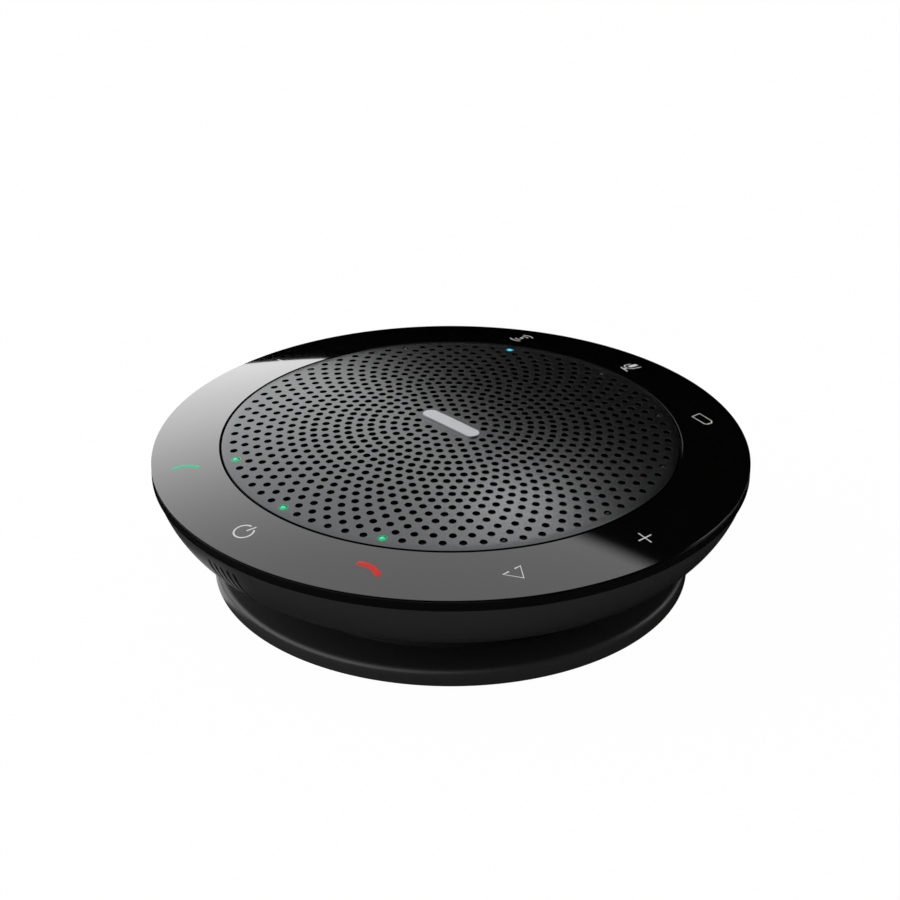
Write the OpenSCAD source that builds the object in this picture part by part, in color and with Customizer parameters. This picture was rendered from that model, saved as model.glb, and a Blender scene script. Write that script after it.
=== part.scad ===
// Conference speakerphone: a low round table unit with a domed perforated grille,
// a glossy touch ring, a bowl-shaped housing and a foot with a cable channel above it.
// Z is up, z = 0 is the table, the front of the unit faces -Y.

/* [Overall] */
// Diameter of the touch ring, the widest part
body_d = 120; // [112:1:150]
// Height from the table to the top of the dome
overall_h = 32; // [31:0.5:42]
// Radius of the sphere that the grille and the touch ring follow
dome_r = 330; // [260:5:600]

/* [Grille] */
// Diameter of the perforated grille
grille_d = 92; // [80:1:98]
// Thickness of the grille's steel sheet
grille_t = 0.6; // [0.4:0.1:0.8]
// Diameter of each hole
hole_d = 1.35; // [1:0.05:1.5]
// Distance from one ring of holes to the next
hole_pitch = 2.29; // [2.2:0.01:3]
// Depth of the grille's turned-down skirt
skirt_h = 2; // [1:0.1:2.2]
// Length of the blank badge plate
badge_l = 15; // [10:1:20]
// Width of the blank badge plate
badge_w = 3.2; // [2:0.2:4]

/* [Touch ring] */
// Thickness of the touch ring
ring_t = 1.6; // [1.2:0.1:2]
// Height of the ring's outer edge above the joint with the band below it
ring_edge_h = 0.4; // [0.3:0.05:0.8]
// Number of indicator stations round the ring
stations = 12; // [8:1:16]

/* [Housing] */
// Height of the band under the touch ring
band_h = 1.85; // [1.4:0.05:2.2]
// Height of the bowl between the cable channel and the seam
bowl_h = 11.5; // [10.5:0.5:20]
// How far the bowl's lower edge stands in from the widest part
bowl_inset = 8.2; // [6:0.2:10]
// Radius of the bowl's side, seen in section
bowl_arc_r = 20.1; // [14:0.1:40]
// Wall thickness of the bowl
wall = 1.8; // [1.4:0.1:2.2]
// Thickness of the baffle and of the bowl's floor
floor_t = 1.5; // [1.2:0.1:2]
// Number of microphone slots at the front
slot_n = 5; // [3:1:7]
// Angle from one microphone slot to the next
slot_step = 1.8; // [1.6:0.1:2.4]
// Width of each microphone slot
slot_w = 0.85; // [0.5:0.05:1]

/* [Foot and channel] */
// Diameter of the base disc
base_d = 96.6; // [92:0.2:104]
// Thickness of the base disc
base_t = 3.5; // [3.2:0.1:5]
// Diameter of the core that the cable is wound on
core_d = 80; // [78:1:84]
// How far the rubber foot stands out below the base disc
foot_proud = 0.7; // [0.5:0.1:1.5]
// Diameter of the cable that the inlet takes
cable_d = 3.4; // [2.8:0.1:4]

/* [Loudspeaker] */
// Diameter of the driver's flange
driver_d = 58; // [54:1:60]
// Diameter of the voice coil's former, inside
coil_d = 13; // [12:0.5:14]
// Diameter of the magnet
magnet_d = 32; // [28:1:34]
// Travel of the cone each way
cone_travel = 1.5; // [0.5:0.1:1.5]

/* [Battery] */
// Length of the battery
battery_l = 52; // [40:1:54]
// Width of the battery
battery_w = 34; // [25:1:35]
// Thickness of the battery
battery_t = 5.4; // [4:0.1:5.6]

/* [Hidden] */
$fn = 96;

// Clearances
film_gap = 0.05;     // between glued or stacked layers
pin_gap = 0.06;      // round a pin or a screw in its hole
fit_gap = 0.1;       // between parts that locate each other
seam_gap = 0.15;     // shadow line between outer shells
coil_gap = 0.35;     // each side of the voice coil in the magnet's gap
cut = 1;             // how far a cutting shape runs past a face

// Heights, from the table up
base_z = foot_proud;
channel_z = base_z + base_t;
body_r = body_d / 2;
dome_z = overall_h - dome_r;
edge_z = dome_top(body_r);
band_top = edge_z - ring_edge_h;
seam_z = band_top - band_h;
bowl_rim_z = seam_z - seam_gap;
bowl_z = bowl_rim_z - bowl_h;
bowl_floor_z = bowl_z + floor_t;
baffle_drop = 0.4;   // baffle top below the band's lower edge
baffle_top = seam_z - baffle_drop;
baffle_z = baffle_top - floor_t;

// Radii of the grille zone
grille_r = grille_d / 2;
hole_margin = 1.2;   // sheet left outside the last ring of holes
badge_margin = hole_d / 2 + 0.3;
skirt_t = grille_t;
skirt_z = dome_top(grille_r) - skirt_h;
first_ring = 2;
last_ring = floor((grille_r - skirt_t - hole_margin) / hole_pitch);
pipe_ring_r = last_ring * hole_pitch;
frame_in_r = pipe_ring_r - 1.15;
frame_out_r = grille_r + 0.25;
cloth_r = frame_in_r - 0.25;
cloth_t = 0.3;
ring_in_r = grille_r + 0.4;

// Radii of the housing's joint under the touch ring
rim_in_r = body_r - 2.3;
wall_out_r = rim_in_r - 0.6;
wall_in_r = wall_out_r - 1.5;
ring_body_r = wall_in_r - 0.2;
board_out_r = wall_in_r - 0.1;
board_in_r = frame_in_r - 0.9;
board_t = 1;
led_board_top = baffle_top + board_t;
led_h = 0.6;
led_size = [0.8, 1.6, led_h];
pipe_r = hole_d / 2 - 0.075;
icon_r = (ring_in_r + body_r) / 2;

// Bowl section: an arc through the rim's edge and the lower edge
bowl_top_r = body_r - 0.3;
bowl_low_r = body_r - bowl_inset;
chord = [bowl_top_r - bowl_low_r, bowl_h];
chord_l = norm(chord);
arc_reach = sqrt(pow(bowl_arc_r, 2) - pow(chord_l / 2, 2));
arc_c = [
    (bowl_top_r + bowl_low_r) / 2 - arc_reach * chord[1] / chord_l,
    (bowl_rim_z + bowl_z) / 2 + arc_reach * chord[0] / chord_l
];

// Core and foot
core_r = core_d / 2;
core_wall = 1.6;
core_flange_in = 31;
core_flange_t = 1.4;
core_flange_z = bowl_z - core_flange_t;
spigot_r = core_r - core_wall - fit_gap;
base_r = base_d / 2;
base_floor_t = 1.6;
pocket_r = 33;
foot_in_r = 30;
foot_out_r = base_r - 2.8;
foot_groove = 0.5;
base_floor_z = base_z + base_floor_t;
gland_z = (channel_z + bowl_z) / 2;
gland_hole_r = cable_d / 2 + 0.9;
gland_lip = 1.2;
gland_barb_r = gland_hole_r + fit_gap;
gland_in_r = core_r - core_wall - gland_lip - 0.3;

// Fasteners
screw_r = 1;
screw_head_r = 1.8;
screw_head_h = 1.2;
small_screw_r = 0.75;
small_head_r = 1.4;
small_head_h = 0.9;
boss_r = 2.6;
core_boss_r = 2.4;
housing_screw_at = 34.5;
housing_screw_n = 6;
base_screw_at = core_r - core_wall - 2.2;
base_screw_n = 4;
thread_l = 6;

// Loudspeaker
flange_t = 0.8;
gasket_t = 0.5;
flange_z = baffle_top + gasket_t;
flange_top = flange_z + flange_t;
driver_r = driver_d / 2;
basket_t = 0.7;
basket_r = driver_r - 5;
baffle_hole_r = basket_r + basket_t + 0.5;
driver_screw_at = driver_r - 1.7;
driver_screw_n = 4;
driver_boss_h = 2.5;
magnet_r = magnet_d / 2;
basket_foot_r = magnet_r - 0.5;
coil_r = coil_d / 2;
former_t = 0.15;
winding_t = 0.3;
pole_r = coil_r - coil_gap;
gap_out_r = coil_r + former_t + winding_t + coil_gap;
plate_t = 1.5;
coil_hold = 1.25;    // winding left in the gap at the ends of the travel
winding_h = 2 * (cone_travel + coil_hold) - plate_t;
magnet_h = 3;
yoke_t = 1.4;
battery_z = base_floor_z + film_gap;
pad_z = battery_z + battery_t + film_gap;
pad_t = 1.6;         // foam between the battery and the magnet system
yoke_z = pad_z + pad_t + film_gap;
magnet_z = yoke_z + yoke_t;
plate_z = magnet_z + magnet_h;
basket_floor_z = plate_z + plate_t;
basket_depth = flange_z - basket_floor_z;
window_mid = 0.46;   // height of the basket's windows, as a share of its depth
spider_z = basket_floor_z + basket_t + 1;
cone_neck_z = spider_z + 1.4;
roll_r = 2.3;
roll_t = 0.3;
rim_glue_w = 1.4;
roll_at = basket_r + 0.6 - roll_r;
cone_rim_r = roll_at - roll_r + 0.3;

// Battery and boards
battery_angle = 30;
pcb_t = 1.2;
standoff_h = 2;
pcb_z = bowl_floor_z + standoff_h;
pcb_top = pcb_z + pcb_t;
pcb_in_r = housing_screw_at + boss_r + 0.9;
pcb_out_r = bowl_low_r - wall;
board_screw_at = (pcb_in_r + pcb_out_r) / 2;
board_screw_n = 4;
part_r = (pcb_in_r + pcb_out_r) / 2;
wire_r = 0.4;
connector_h = 2;
ribbon_angle = 180;
ribbon_r = part_r + 2;
ribbon_w = 8;
speaker_angle = 150;
strip_w = 8;
strip_t = 0.8;

// Microphone
mic_r = 3;
mic_l = 2.7;
mic_z = bowl_floor_z + 4.2;
mic_back_r = pcb_out_r - 0.4;
boot_w = 9;
boot_h = 7.4;
front = -90;

// Height of the dome's outer surface at a distance from the axis
function dome_top(r) = overall_h - dome_r + sqrt(dome_r * dome_r - r * r);

// Holes in ring m: the count grows outwards so that the spacing stays even
function ring_holes(m) = m < 7 ? 6 * m : m < 9 ? 48 : m < 12 ? 60 : 72;
// Some rings are turned by half a step, so that their holes lie between the next ones
function ring_turn(m) = (m == 3 || m == 5 || (m >= 10 && m % 2 == 0)) ? 0.5 : 0;
// A hole is left out where the badge covers it, or would nearly touch it
function under_badge(r, a) =
    abs(r * cos(a)) < badge_l / 2 + badge_margin && abs(r * sin(a)) < badge_w / 2 + badge_margin;

// A section turned round the Z axis
module turned() { rotate_extrude($fn = 180) children(); }

// The section of the dome, from its axis outwards, lowered by a depth
module dome_section(depth = 0) {
    intersection() {
        translate([0, dome_z]) circle(r = dome_r - depth, $fn = 720);
        square([body_r + cut, overall_h + cut]);
    }
}

// The section of a sheet that follows the dome between two depths and two radii
module sheet_section(depth, t, r_in, r_out) {
    intersection() {
        difference() {
            dome_section(depth);
            translate([0, dome_z]) circle(r = dome_r - depth - t, $fn = 720);
        }
        translate([r_in, 0]) square([r_out - r_in, overall_h + cut]);
    }
}

// A rectangle in a section, from one radius and height to another
module band_section(r_in, r_out, z0, z1) {
    translate([r_in, z0]) square([r_out - r_in, z1 - z0]);
}

// A flat ring
module flat_ring(r_in, r_out, z0, z1) {
    translate([0, 0, z0]) difference() {
        cylinder(r = r_out, h = z1 - z0);
        translate([0, 0, -cut]) cylinder(r = r_in, h = z1 - z0 + 2 * cut);
    }
}

// Children repeated at even angles, at a distance from the axis
module around(n, at, turn = 0) {
    for (i = [0:n - 1]) rotate([0, 0, turn + i * 360 / n]) translate([at, 0, 0]) children();
}

// Children at the dome's centre of curvature, turned to point at a place on it
module on_dome(r, a) {
    translate([0, 0, dome_z]) rotate([0, 0, a]) rotate([0, asin(r / dome_r), 0]) children();
}

// A screw standing at the origin with its shank up and its head down
module screw(shank_r, shank_l, head_r, head_h) {
    translate([0, 0, -head_h]) difference() {
        cylinder(r = head_r, h = head_h);
        translate([0, 0, -cut]) cylinder(r = head_r * 0.55, h = cut + head_h * 0.5, $fn = 6);
    }
    cylinder(r = shank_r, h = shank_l);
}

// A round wire through a list of points, with a ball at each bend
module wire(points, r) {
    for (i = [0:len(points) - 2]) {
        step = points[i + 1] - points[i];
        flat = norm([step[0], step[1]]);
        translate(points[i]) rotate([0, atan2(flat, step[2]), atan2(step[1], step[0])]) {
            cylinder(r = r, h = norm(step), $fn = 24);
            translate([0, 0, norm(step)]) sphere(r = r, $fn = 24);
        }
    }
}

// A block standing on a height, centred on a radius and turned to an angle
module chip(at, a, size, z) {
    rotate([0, 0, a]) translate([at - size[0] / 2, -size[1] / 2, z]) cube(size);
}

// ---- Top ----

module grille() {
    color("#4a4b4d") {
        turned() sheet_section(0, grille_t, 0, band_edge(first_ring - 1));
        for (m = [first_ring:last_ring]) hole_ring(m, m == last_ring ? grille_r : band_edge(m));
        turned() intersection() {
            band_section(grille_r - skirt_t, grille_r, skirt_z, overall_h);
            dome_section(grille_t / 2);
        }
    }
}

// The circle half-way between one ring of holes and the next
function band_edge(m) = (m + 0.5) * hole_pitch;

// One ring of the sheet with its holes, each etched from both faces, so that the
// wall of a hole is rounded and the hole is hole_d wide at the faces
module hole_ring(m, r_out) {
    n = ring_holes(m);
    etch_r = norm([hole_d / 2, grille_t / 2]);
    difference() {
        turned() sheet_section(0, grille_t, band_edge(m - 1), r_out);
        for (i = [0:n - 1]) {
            a = (i + ring_turn(m)) * 360 / n;
            if (!under_badge(m * hole_pitch, a)) on_dome(m * hole_pitch, a)
                translate([0, 0, dome_r - grille_t / 2]) sphere(r = etch_r, $fn = 32);
        }
    }
}

module grille_cloth() {
    color("#0c0c0c") turned() sheet_section(grille_t + film_gap, cloth_t, 0, cloth_r);
}

// A blank plate with round ends, bent to the dome
module badge() {
    badge_t = 0.3;
    color("#b9babc") intersection() {
        turned() sheet_section(-film_gap - badge_t, badge_t, 0, badge_l);
        linear_extrude(overall_h + cut) {
            square([badge_l - badge_w, badge_w], center = true);
            for (s = [-1, 1]) translate([s * (badge_l - badge_w) / 2, 0]) circle(d = badge_w);
        }
    }
}

// The ring under the grille's edge, which carries the grille and parts the light pipes
module grille_frame() {
    color("#101010") difference() {
        turned() {
            intersection() {
                band_section(frame_in_r, grille_r - skirt_t - fit_gap, led_board_top, overall_h);
                dome_section(grille_t + fit_gap);
            }
            band_section(frame_in_r, frame_out_r, led_board_top, skirt_z - film_gap);
        }
        around(stations, pipe_ring_r) {
            cylinder(r = pipe_r + pin_gap, h = overall_h + cut, $fn = 24);
            translate([-led_size[0] / 2 - fit_gap, -led_size[1] / 2 - fit_gap, 0])
                cube([led_size[0] + 2 * fit_gap, led_size[1] + 2 * fit_gap,
                      led_board_top + led_h + fit_gap]);
        }
    }
}

module light_pipes() {
    color("#9fdcc0") around(stations, pipe_ring_r)
        translate([0, 0, led_board_top + led_h + film_gap])
            cylinder(r = pipe_r, h = dome_top(pipe_ring_r) - led_board_top - led_h, $fn = 24);
}

module indicator_leds() {
    color("#e8e6cf") for (i = [0:stations - 1])
        chip(pipe_ring_r, i * 360 / stations, led_size, led_board_top);
}

module touch_ring() {
    edge_break = 0.25;
    color("#0a0a0a") turned() difference() {
        union() {
            sheet_section(0, ring_t, ring_in_r, ring_body_r);
            intersection() {
                dome_section();
                band_section(ring_body_r - cut, body_r, band_top, overall_h);
            }
        }
        polygon([
            [ring_in_r - cut, dome_top(ring_in_r) - edge_break - cut],
            [ring_in_r + edge_break + cut, dome_top(ring_in_r) + cut],
            [ring_in_r - cut, dome_top(ring_in_r) + cut]
        ]);
    }
}

// The film with the touch electrodes, glued under the ring
module touch_foil() {
    foil_t = 0.25;
    color("#8a6a2c") turned()
        sheet_section(ring_t + film_gap, foil_t, ring_in_r + 0.8, ring_body_r - 0.2);
}

module led_board() {
    color("#14482c") flat_ring(board_in_r, board_out_r, baffle_top, led_board_top);
}

// Light sources under the nine printed signs; three stations have none
module icon_leds() {
    blank = [1, 5, 7];
    color("#e8e6cf") for (i = [0:stations - 1])
        if (len(search(i, blank)) == 0) chip(icon_r, i * 360 / stations, led_size, led_board_top);
}

module led_connector() {
    color("#e6e2d4") chip(ribbon_r, ribbon_angle, [3, ribbon_w + 1, 1.2], baffle_top - 1.2);
}

// ---- Housing ----

module upper_housing() {
    color("#17171a") difference() {
        union() {
            turned() {
                band_section(baffle_hole_r, wall_out_r, baffle_z, baffle_top);
                band_section(wall_in_r, wall_out_r, baffle_z, band_top);
                difference() {
                    band_section(wall_out_r - fit_gap, body_r, seam_z, band_top);
                    band_chamfer();
                }
            }
            around(housing_screw_n, housing_screw_at)
                translate([0, 0, bowl_floor_z])
                    cylinder(r = boss_r, h = baffle_z - bowl_floor_z + fit_gap);
            around(driver_screw_n, driver_screw_at, 45)
                translate([0, 0, baffle_z - driver_boss_h]) cylinder(r = 2, h = driver_boss_h + fit_gap);
        }
        around(housing_screw_n, housing_screw_at)
            translate([0, 0, bowl_floor_z - cut]) cylinder(r = screw_r + pin_gap, h = thread_l + cut);
        around(driver_screw_n, driver_screw_at, 45)
            translate([0, 0, baffle_z - driver_boss_h - cut])
                cylinder(r = small_screw_r + pin_gap, h = driver_boss_h + floor_t + 2 * cut);
        chip(ribbon_r, ribbon_angle, [5, ribbon_w + 3, floor_t + 2 * cut], baffle_z - cut);
    }
}

// The small bevel that makes the dark line under the touch ring's edge
module band_chamfer() {
    bevel = 0.3;
    translate([body_r, band_top]) rotate(45) square(bevel * sqrt(2), center = true);
}

// The bowl's outer section; a positive depth gives the section that far inside it
module bowl_section(depth = 0) {
    intersection() {
        translate(arc_c) circle(r = bowl_arc_r - depth, $fn = 180);
        translate([arc_c[0], bowl_z]) square([body_r, bowl_h]);
    }
    band_section(0, arc_c[0] + cut, bowl_z, bowl_rim_z);
}

module lower_housing() {
    color("#141416") difference() {
        union() {
            turned() {
                difference() {
                    bowl_section();
                    intersection() {
                        bowl_section(wall);
                        band_section(0, body_r, bowl_floor_z, bowl_rim_z + cut);
                    }
                    band_section(0, rim_in_r, baffle_z - fit_gap, bowl_rim_z + cut);
                    band_section(0, core_flange_in, bowl_z - cut, bowl_floor_z + cut);
                }
            }
            around(board_screw_n, board_screw_at, 45)
                translate([0, 0, bowl_floor_z - fit_gap]) cylinder(r = 2.2, h = standoff_h + fit_gap);
        }
        around(housing_screw_n, housing_screw_at)
            translate([0, 0, bowl_z - cut]) cylinder(r = screw_r + pin_gap, h = floor_t + 2 * cut);
        around(board_screw_n, board_screw_at, 45)
            translate([0, 0, bowl_floor_z - 1])
                cylinder(r = small_screw_r + pin_gap, h = standoff_h + 1 + cut);
        for (i = [0:slot_n - 1])
            rotate([0, 0, front + (i - (slot_n - 1) / 2) * slot_step]) mic_slot();
    }
}

// One upright slot through the bowl's wall, along +X before it is turned
module mic_slot() {
    slot_top = bowl_rim_z - 2.3;
    slot_low = bowl_z + 0.9;
    translate([bowl_low_r - wall - 1.5, 0, 0]) rotate([90, 0, 90])
        linear_extrude(bowl_inset + wall + 3) {
            translate([-slot_w / 2, slot_low]) square([slot_w, slot_top - slot_low]);
            for (z = [slot_low, slot_top]) translate([0, z]) circle(d = slot_w, $fn = 24);
        }
}

module housing_screws() {
    color("#8d8f94") around(housing_screw_n, housing_screw_at)
        translate([0, 0, core_flange_z]) screw(screw_r, core_flange_t + floor_t + thread_l - 0.5,
                                               screw_head_r, screw_head_h);
}

// ---- Foot ----

// The drum between the bowl and the base disc, which the cable is wound on
module winding_core() {
    color("#0b0b0c") difference() {
        union() {
            flat_ring(core_r - core_wall, core_r, channel_z, bowl_z);
            flat_ring(core_flange_in, core_r - core_wall + fit_gap, core_flange_z, bowl_z);
            around(base_screw_n, base_screw_at, 45)
                translate([0, 0, channel_z])
                    cylinder(r = core_boss_r, h = core_flange_z - channel_z + fit_gap);
        }
        around(housing_screw_n, housing_screw_at)
            translate([0, 0, core_flange_z - cut])
                cylinder(r = screw_r + pin_gap, h = core_flange_t + 2 * cut);
        around(base_screw_n, base_screw_at, 45)
            translate([0, 0, channel_z - cut]) cylinder(r = screw_r + pin_gap, h = 5.5 + cut);
        translate([0, core_r, gland_z]) rotate([90, 0, 0])
            cylinder(r = gland_hole_r, h = 4 * core_wall, center = true);
        gland_room();
    }
}

// What is cut away round the bush's barb where the channel is low
module gland_room() {
    translate([0, gland_in_r - fit_gap, gland_z]) rotate([-90, 0, 0])
        cylinder(r = gland_barb_r + pin_gap, h = gland_lip + 2 * fit_gap);
}

// The rubber bush that the cable leaves through, at the back of the core
module cord_gland() {
    neck_r = gland_hole_r - fit_gap;
    collar_r = (bowl_z - channel_z) / 2 - fit_gap;
    color("#0a0a0a") translate([0, 0, gland_z]) rotate([-90, 0, 0]) difference() {
        union() {
            translate([0, 0, gland_in_r]) cylinder(r = neck_r, h = core_r + gland_lip - gland_in_r);
            translate([0, 0, gland_in_r]) cylinder(r = gland_barb_r, h = gland_lip);
            translate([0, 0, core_r + film_gap]) cylinder(r = collar_r, h = gland_lip - film_gap);
        }
        translate([0, 0, gland_in_r - cut]) cylinder(r = cable_d / 2 + film_gap, h = 10 + cut);
    }
}

module base_disc() {
    edge_r = 0.7;
    color("#1b1b1d") difference() {
        union() {
            turned() {
                band_section(0, base_r - edge_r, base_z, channel_z);
                band_section(0, base_r, base_z, channel_z - edge_r);
                translate([base_r - edge_r, channel_z - edge_r]) circle(r = edge_r);
            }
            flat_ring(spigot_r - 1.5, spigot_r, channel_z - cut, channel_z + 1.2);
        }
        translate([0, 0, base_floor_z]) cylinder(r = pocket_r, h = base_t + cut);
        flat_ring(foot_in_r, foot_out_r, base_z - cut, base_z + foot_groove);
        around(base_screw_n, base_screw_at, 45) {
            cylinder(r = screw_head_r + 0.2, h = base_z + foot_groove + screw_head_h + fit_gap);
            cylinder(r = screw_r + pin_gap, h = channel_z + cut);
            translate([0, 0, channel_z - film_gap]) cylinder(r = core_boss_r + fit_gap, h = 2);
        }
        gland_room();
    }
}

module base_screws() {
    head_z = base_z + foot_groove + screw_head_h + fit_gap;
    color("#8d8f94") around(base_screw_n, base_screw_at, 45)
        translate([0, 0, head_z]) screw(screw_r, channel_z + 5 - head_z, screw_head_r, screw_head_h);
}

module rubber_foot() {
    color("#202022") flat_ring(foot_in_r + fit_gap, foot_out_r - fit_gap, 0, base_z + foot_groove);
}

// ---- Loudspeaker ----

module driver_basket() {
    color("#2a2b2d") difference() {
        turned() {
            polygon([
                [basket_r, flange_top], [driver_r, flange_top], [driver_r, flange_z],
                [basket_r + basket_t, flange_z],
                [basket_foot_r + basket_t, basket_floor_z],
                [gap_out_r + 1, basket_floor_z],
                [gap_out_r + 1, basket_floor_z + basket_t],
                [basket_foot_r - 2, basket_floor_z + basket_t],
                [basket_foot_r - 2, spider_z], [basket_foot_r + 0.4, spider_z]
            ]);
        }
        around(driver_screw_n, driver_screw_at, 45)
            translate([0, 0, flange_z - cut]) cylinder(r = small_screw_r + pin_gap, h = flange_t + 2 * cut);
        around(6, (basket_r + basket_foot_r) / 2, 30)
            translate([0, 0, basket_floor_z + window_mid * basket_depth]) rotate([0, 90, 0])
                cylinder(r = 2.2, h = basket_r, center = true);
    }
}

module driver_gasket() {
    color("#1a1a1a") difference() {
        flat_ring(baffle_hole_r + 0.2, driver_r, baffle_top, flange_z);
        around(driver_screw_n, driver_screw_at, 45)
            translate([0, 0, baffle_top - cut])
                cylinder(r = small_screw_r + pin_gap, h = gasket_t + 2 * cut);
    }
}

module driver_screws() {
    length = flange_top - (baffle_z - driver_boss_h) - 0.3;
    color("#8d8f94") around(driver_screw_n, driver_screw_at, 45)
        translate([0, 0, flange_top]) mirror([0, 0, 1])
            screw(small_screw_r, length, small_head_r, small_head_h);
}

module magnet() {
    color("#3a3a3c") flat_ring(gap_out_r + 1, magnet_r, magnet_z, plate_z);
}

module top_plate() {
    color("#9a9ca0") flat_ring(gap_out_r, magnet_r - 0.8, plate_z, basket_floor_z);
}

module yoke() {
    color("#9a9ca0") {
        translate([0, 0, yoke_z]) cylinder(r = magnet_r - 0.8, h = yoke_t);
        translate([0, 0, yoke_z]) cylinder(r = pole_r, h = basket_floor_z - yoke_z);
    }
}

module terminal_strip() {
    strip_l = 4.5;
    foot_edge_r = basket_foot_r + basket_t;
    flare = (basket_r - basket_foot_r) / basket_depth;
    color("#7a5a2e") difference() {
        chip(foot_edge_r + strip_l / 2 - 0.3, speaker_angle, [strip_l, strip_w, strip_t], basket_floor_z);
        translate([0, 0, basket_floor_z - cut])
            cylinder(r = foot_edge_r + strip_t * flare + fit_gap, h = 2 * cut + strip_t);
    }
}

// The corrugated disc that centres the voice coil
module spider() {
    outer = basket_foot_r - 0.2;
    inner = coil_r + former_t + fit_gap;
    spider_t = 0.25;
    bump_r = 0.75;
    bump_n = 3;
    first = inner + 1.4;
    pitch = (basket_foot_r - 2.6 - first) / (bump_n - 1);
    color("#8a5a2a") turned() difference() {
        union() {
            band_section(inner, outer, spider_z, spider_z + spider_t);
            for (i = [0:bump_n - 1]) intersection() {
                translate([first + i * pitch, spider_z]) circle(r = bump_r);
                band_section(0, outer, spider_z, spider_z + 2);
            }
        }
        for (i = [0:bump_n - 1]) translate([first + i * pitch, spider_z]) circle(r = bump_r - spider_t);
    }
}

// The half-roll rubber edge that carries the cone
module surround() {
    color("#0d0d0d") turned() {
        intersection() {
            difference() {
                translate([roll_at, flange_top]) circle(r = roll_r);
                translate([roll_at, flange_top]) circle(r = roll_r - roll_t);
            }
            band_section(0, driver_r, flange_top, overall_h);
        }
        band_section(cone_rim_r - 0.9, roll_at - roll_r + 0.1, flange_top, flange_top + roll_t);
        band_section(roll_at + roll_r - 0.1, basket_r + rim_glue_w, flange_top, flange_top + roll_t);
    }
}

module cone() {
    neck_r = coil_r + former_t + fit_gap;
    color("#2b2b2e") turned() polygon([
        [neck_r, cone_neck_z], [neck_r + 0.4, cone_neck_z],
        [cone_rim_r - 0.7, flange_top - 0.35], [cone_rim_r, flange_top - 0.35],
        [cone_rim_r, flange_top], [cone_rim_r - 0.95, flange_top],
        [neck_r, cone_neck_z + 0.5]
    ]);
}

module dust_cap() {
    cap_r = 14;
    cap_t = 0.3;
    rim_r = coil_r + 1.7;
    // height of the cone's upper face where the cap sits on it
    neck_r = coil_r + former_t + fit_gap;
    slope = (flange_top - cone_neck_z - 0.5) / (cone_rim_r - 0.95 - neck_r);
    seat_z = cone_neck_z + 0.5 + (rim_r - neck_r) * slope + film_gap;
    centre_z = seat_z - sqrt(pow(cap_r - cap_t, 2) - pow(rim_r, 2));
    color("#1c1c1f") turned() intersection() {
        difference() {
            translate([0, centre_z]) circle(r = cap_r, $fn = 180);
            translate([0, centre_z]) circle(r = cap_r - cap_t, $fn = 180);
        }
        band_section(0, rim_r, seat_z, overall_h);
    }
}

module voice_coil() {
    coil_mid = basket_floor_z - plate_t / 2;
    coil_low = coil_mid - winding_h / 2;
    color("#b06a35") {
        flat_ring(coil_r, coil_r + former_t, coil_low, cone_neck_z + 0.6);
        flat_ring(coil_r + former_t - 0.01, coil_r + former_t + winding_t, coil_low, coil_low + winding_h);
    }
}

// ---- Electronics ----

module main_board() {
    color("#14482c") difference() {
        flat_ring(pcb_in_r, pcb_out_r, pcb_z, pcb_top);
        around(board_screw_n, board_screw_at, 45) cylinder(r = small_screw_r + pin_gap, h = pcb_top + cut);
        chip(pcb_out_r, front, [6, boot_w + 2, 3 * pcb_t], pcb_z - pcb_t);
    }
}

module board_screws() {
    color("#8d8f94") around(board_screw_n, board_screw_at, 45)
        translate([0, 0, pcb_top]) mirror([0, 0, 1])
            screw(small_screw_r, pcb_top - bowl_floor_z + 0.5, small_head_r, small_head_h);
}

module board_chips() {
    color("#1b1b1d") {
        chip(part_r, 100, [7, 7, 0.9], pcb_top);
        chip(part_r, 115, [5, 4, 1], pcb_top);
        chip(part_r, 20, [5, 6, 1.2], pcb_top);
        chip(part_r, 300, [6, 6, 0.9], pcb_top);
        chip(part_r, 330, [4, 5, 1], pcb_top);
    }
}

module shield_can() {
    can = [9, 13, 2];
    sheet = 0.2;
    color("#b5b7ba") difference() {
        chip(part_r, 205, can, pcb_top);
        chip(part_r, 205, [can[0] - 2 * sheet, can[1] - 2 * sheet, can[2]], pcb_top - sheet);
    }
}

module chip_antenna() {
    color("#e9e6dc") chip(pcb_out_r - 1.5, 240, [2, 7, 0.9], pcb_top);
}

module capacitors() {
    color("#55575c") for (a = [72, 82]) rotate([0, 0, a]) translate([part_r, 0, pcb_top])
        cylinder(r = 2.5, h = 3.4);
}

module board_connectors() {
    color("#e6e2d4") {
        chip(part_r - 2, speaker_angle, [4, 6, connector_h], pcb_top);
        chip(part_r - 2, battery_angle, [4, 6, connector_h], pcb_top);
        chip(ribbon_r, ribbon_angle, [3, ribbon_w + 1, connector_h], pcb_top);
    }
}

module ribbon_cable() {
    color("#d9d3c0") chip(ribbon_r, ribbon_angle,
        [0.3, ribbon_w, baffle_top - 1.2 - pcb_top - connector_h], pcb_top + connector_h);
}

module speaker_leads() {
    from_z = basket_floor_z + strip_t + wire_r + film_gap;
    to_z = pcb_top + connector_h + wire_r + film_gap;
    up_x = core_flange_in - 2;
    color("#b02020") rotate([0, 0, speaker_angle]) for (y = [-1.5, 1.5])
        wire([[basket_foot_r + 3, y, from_z], [up_x, y, from_z], [up_x, y, to_z],
              [part_r - 2, y, to_z]], wire_r);
}

module battery_cell() {
    color("#7e8286") rotate([0, 0, battery_angle])
        translate([-battery_l / 2, -battery_w / 2, battery_z]) cube([battery_l, battery_w, battery_t]);
}

module battery_pad() {
    color("#232325") translate([0, 0, pad_z]) cylinder(r = magnet_r - 2, h = pad_t);
}

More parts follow.
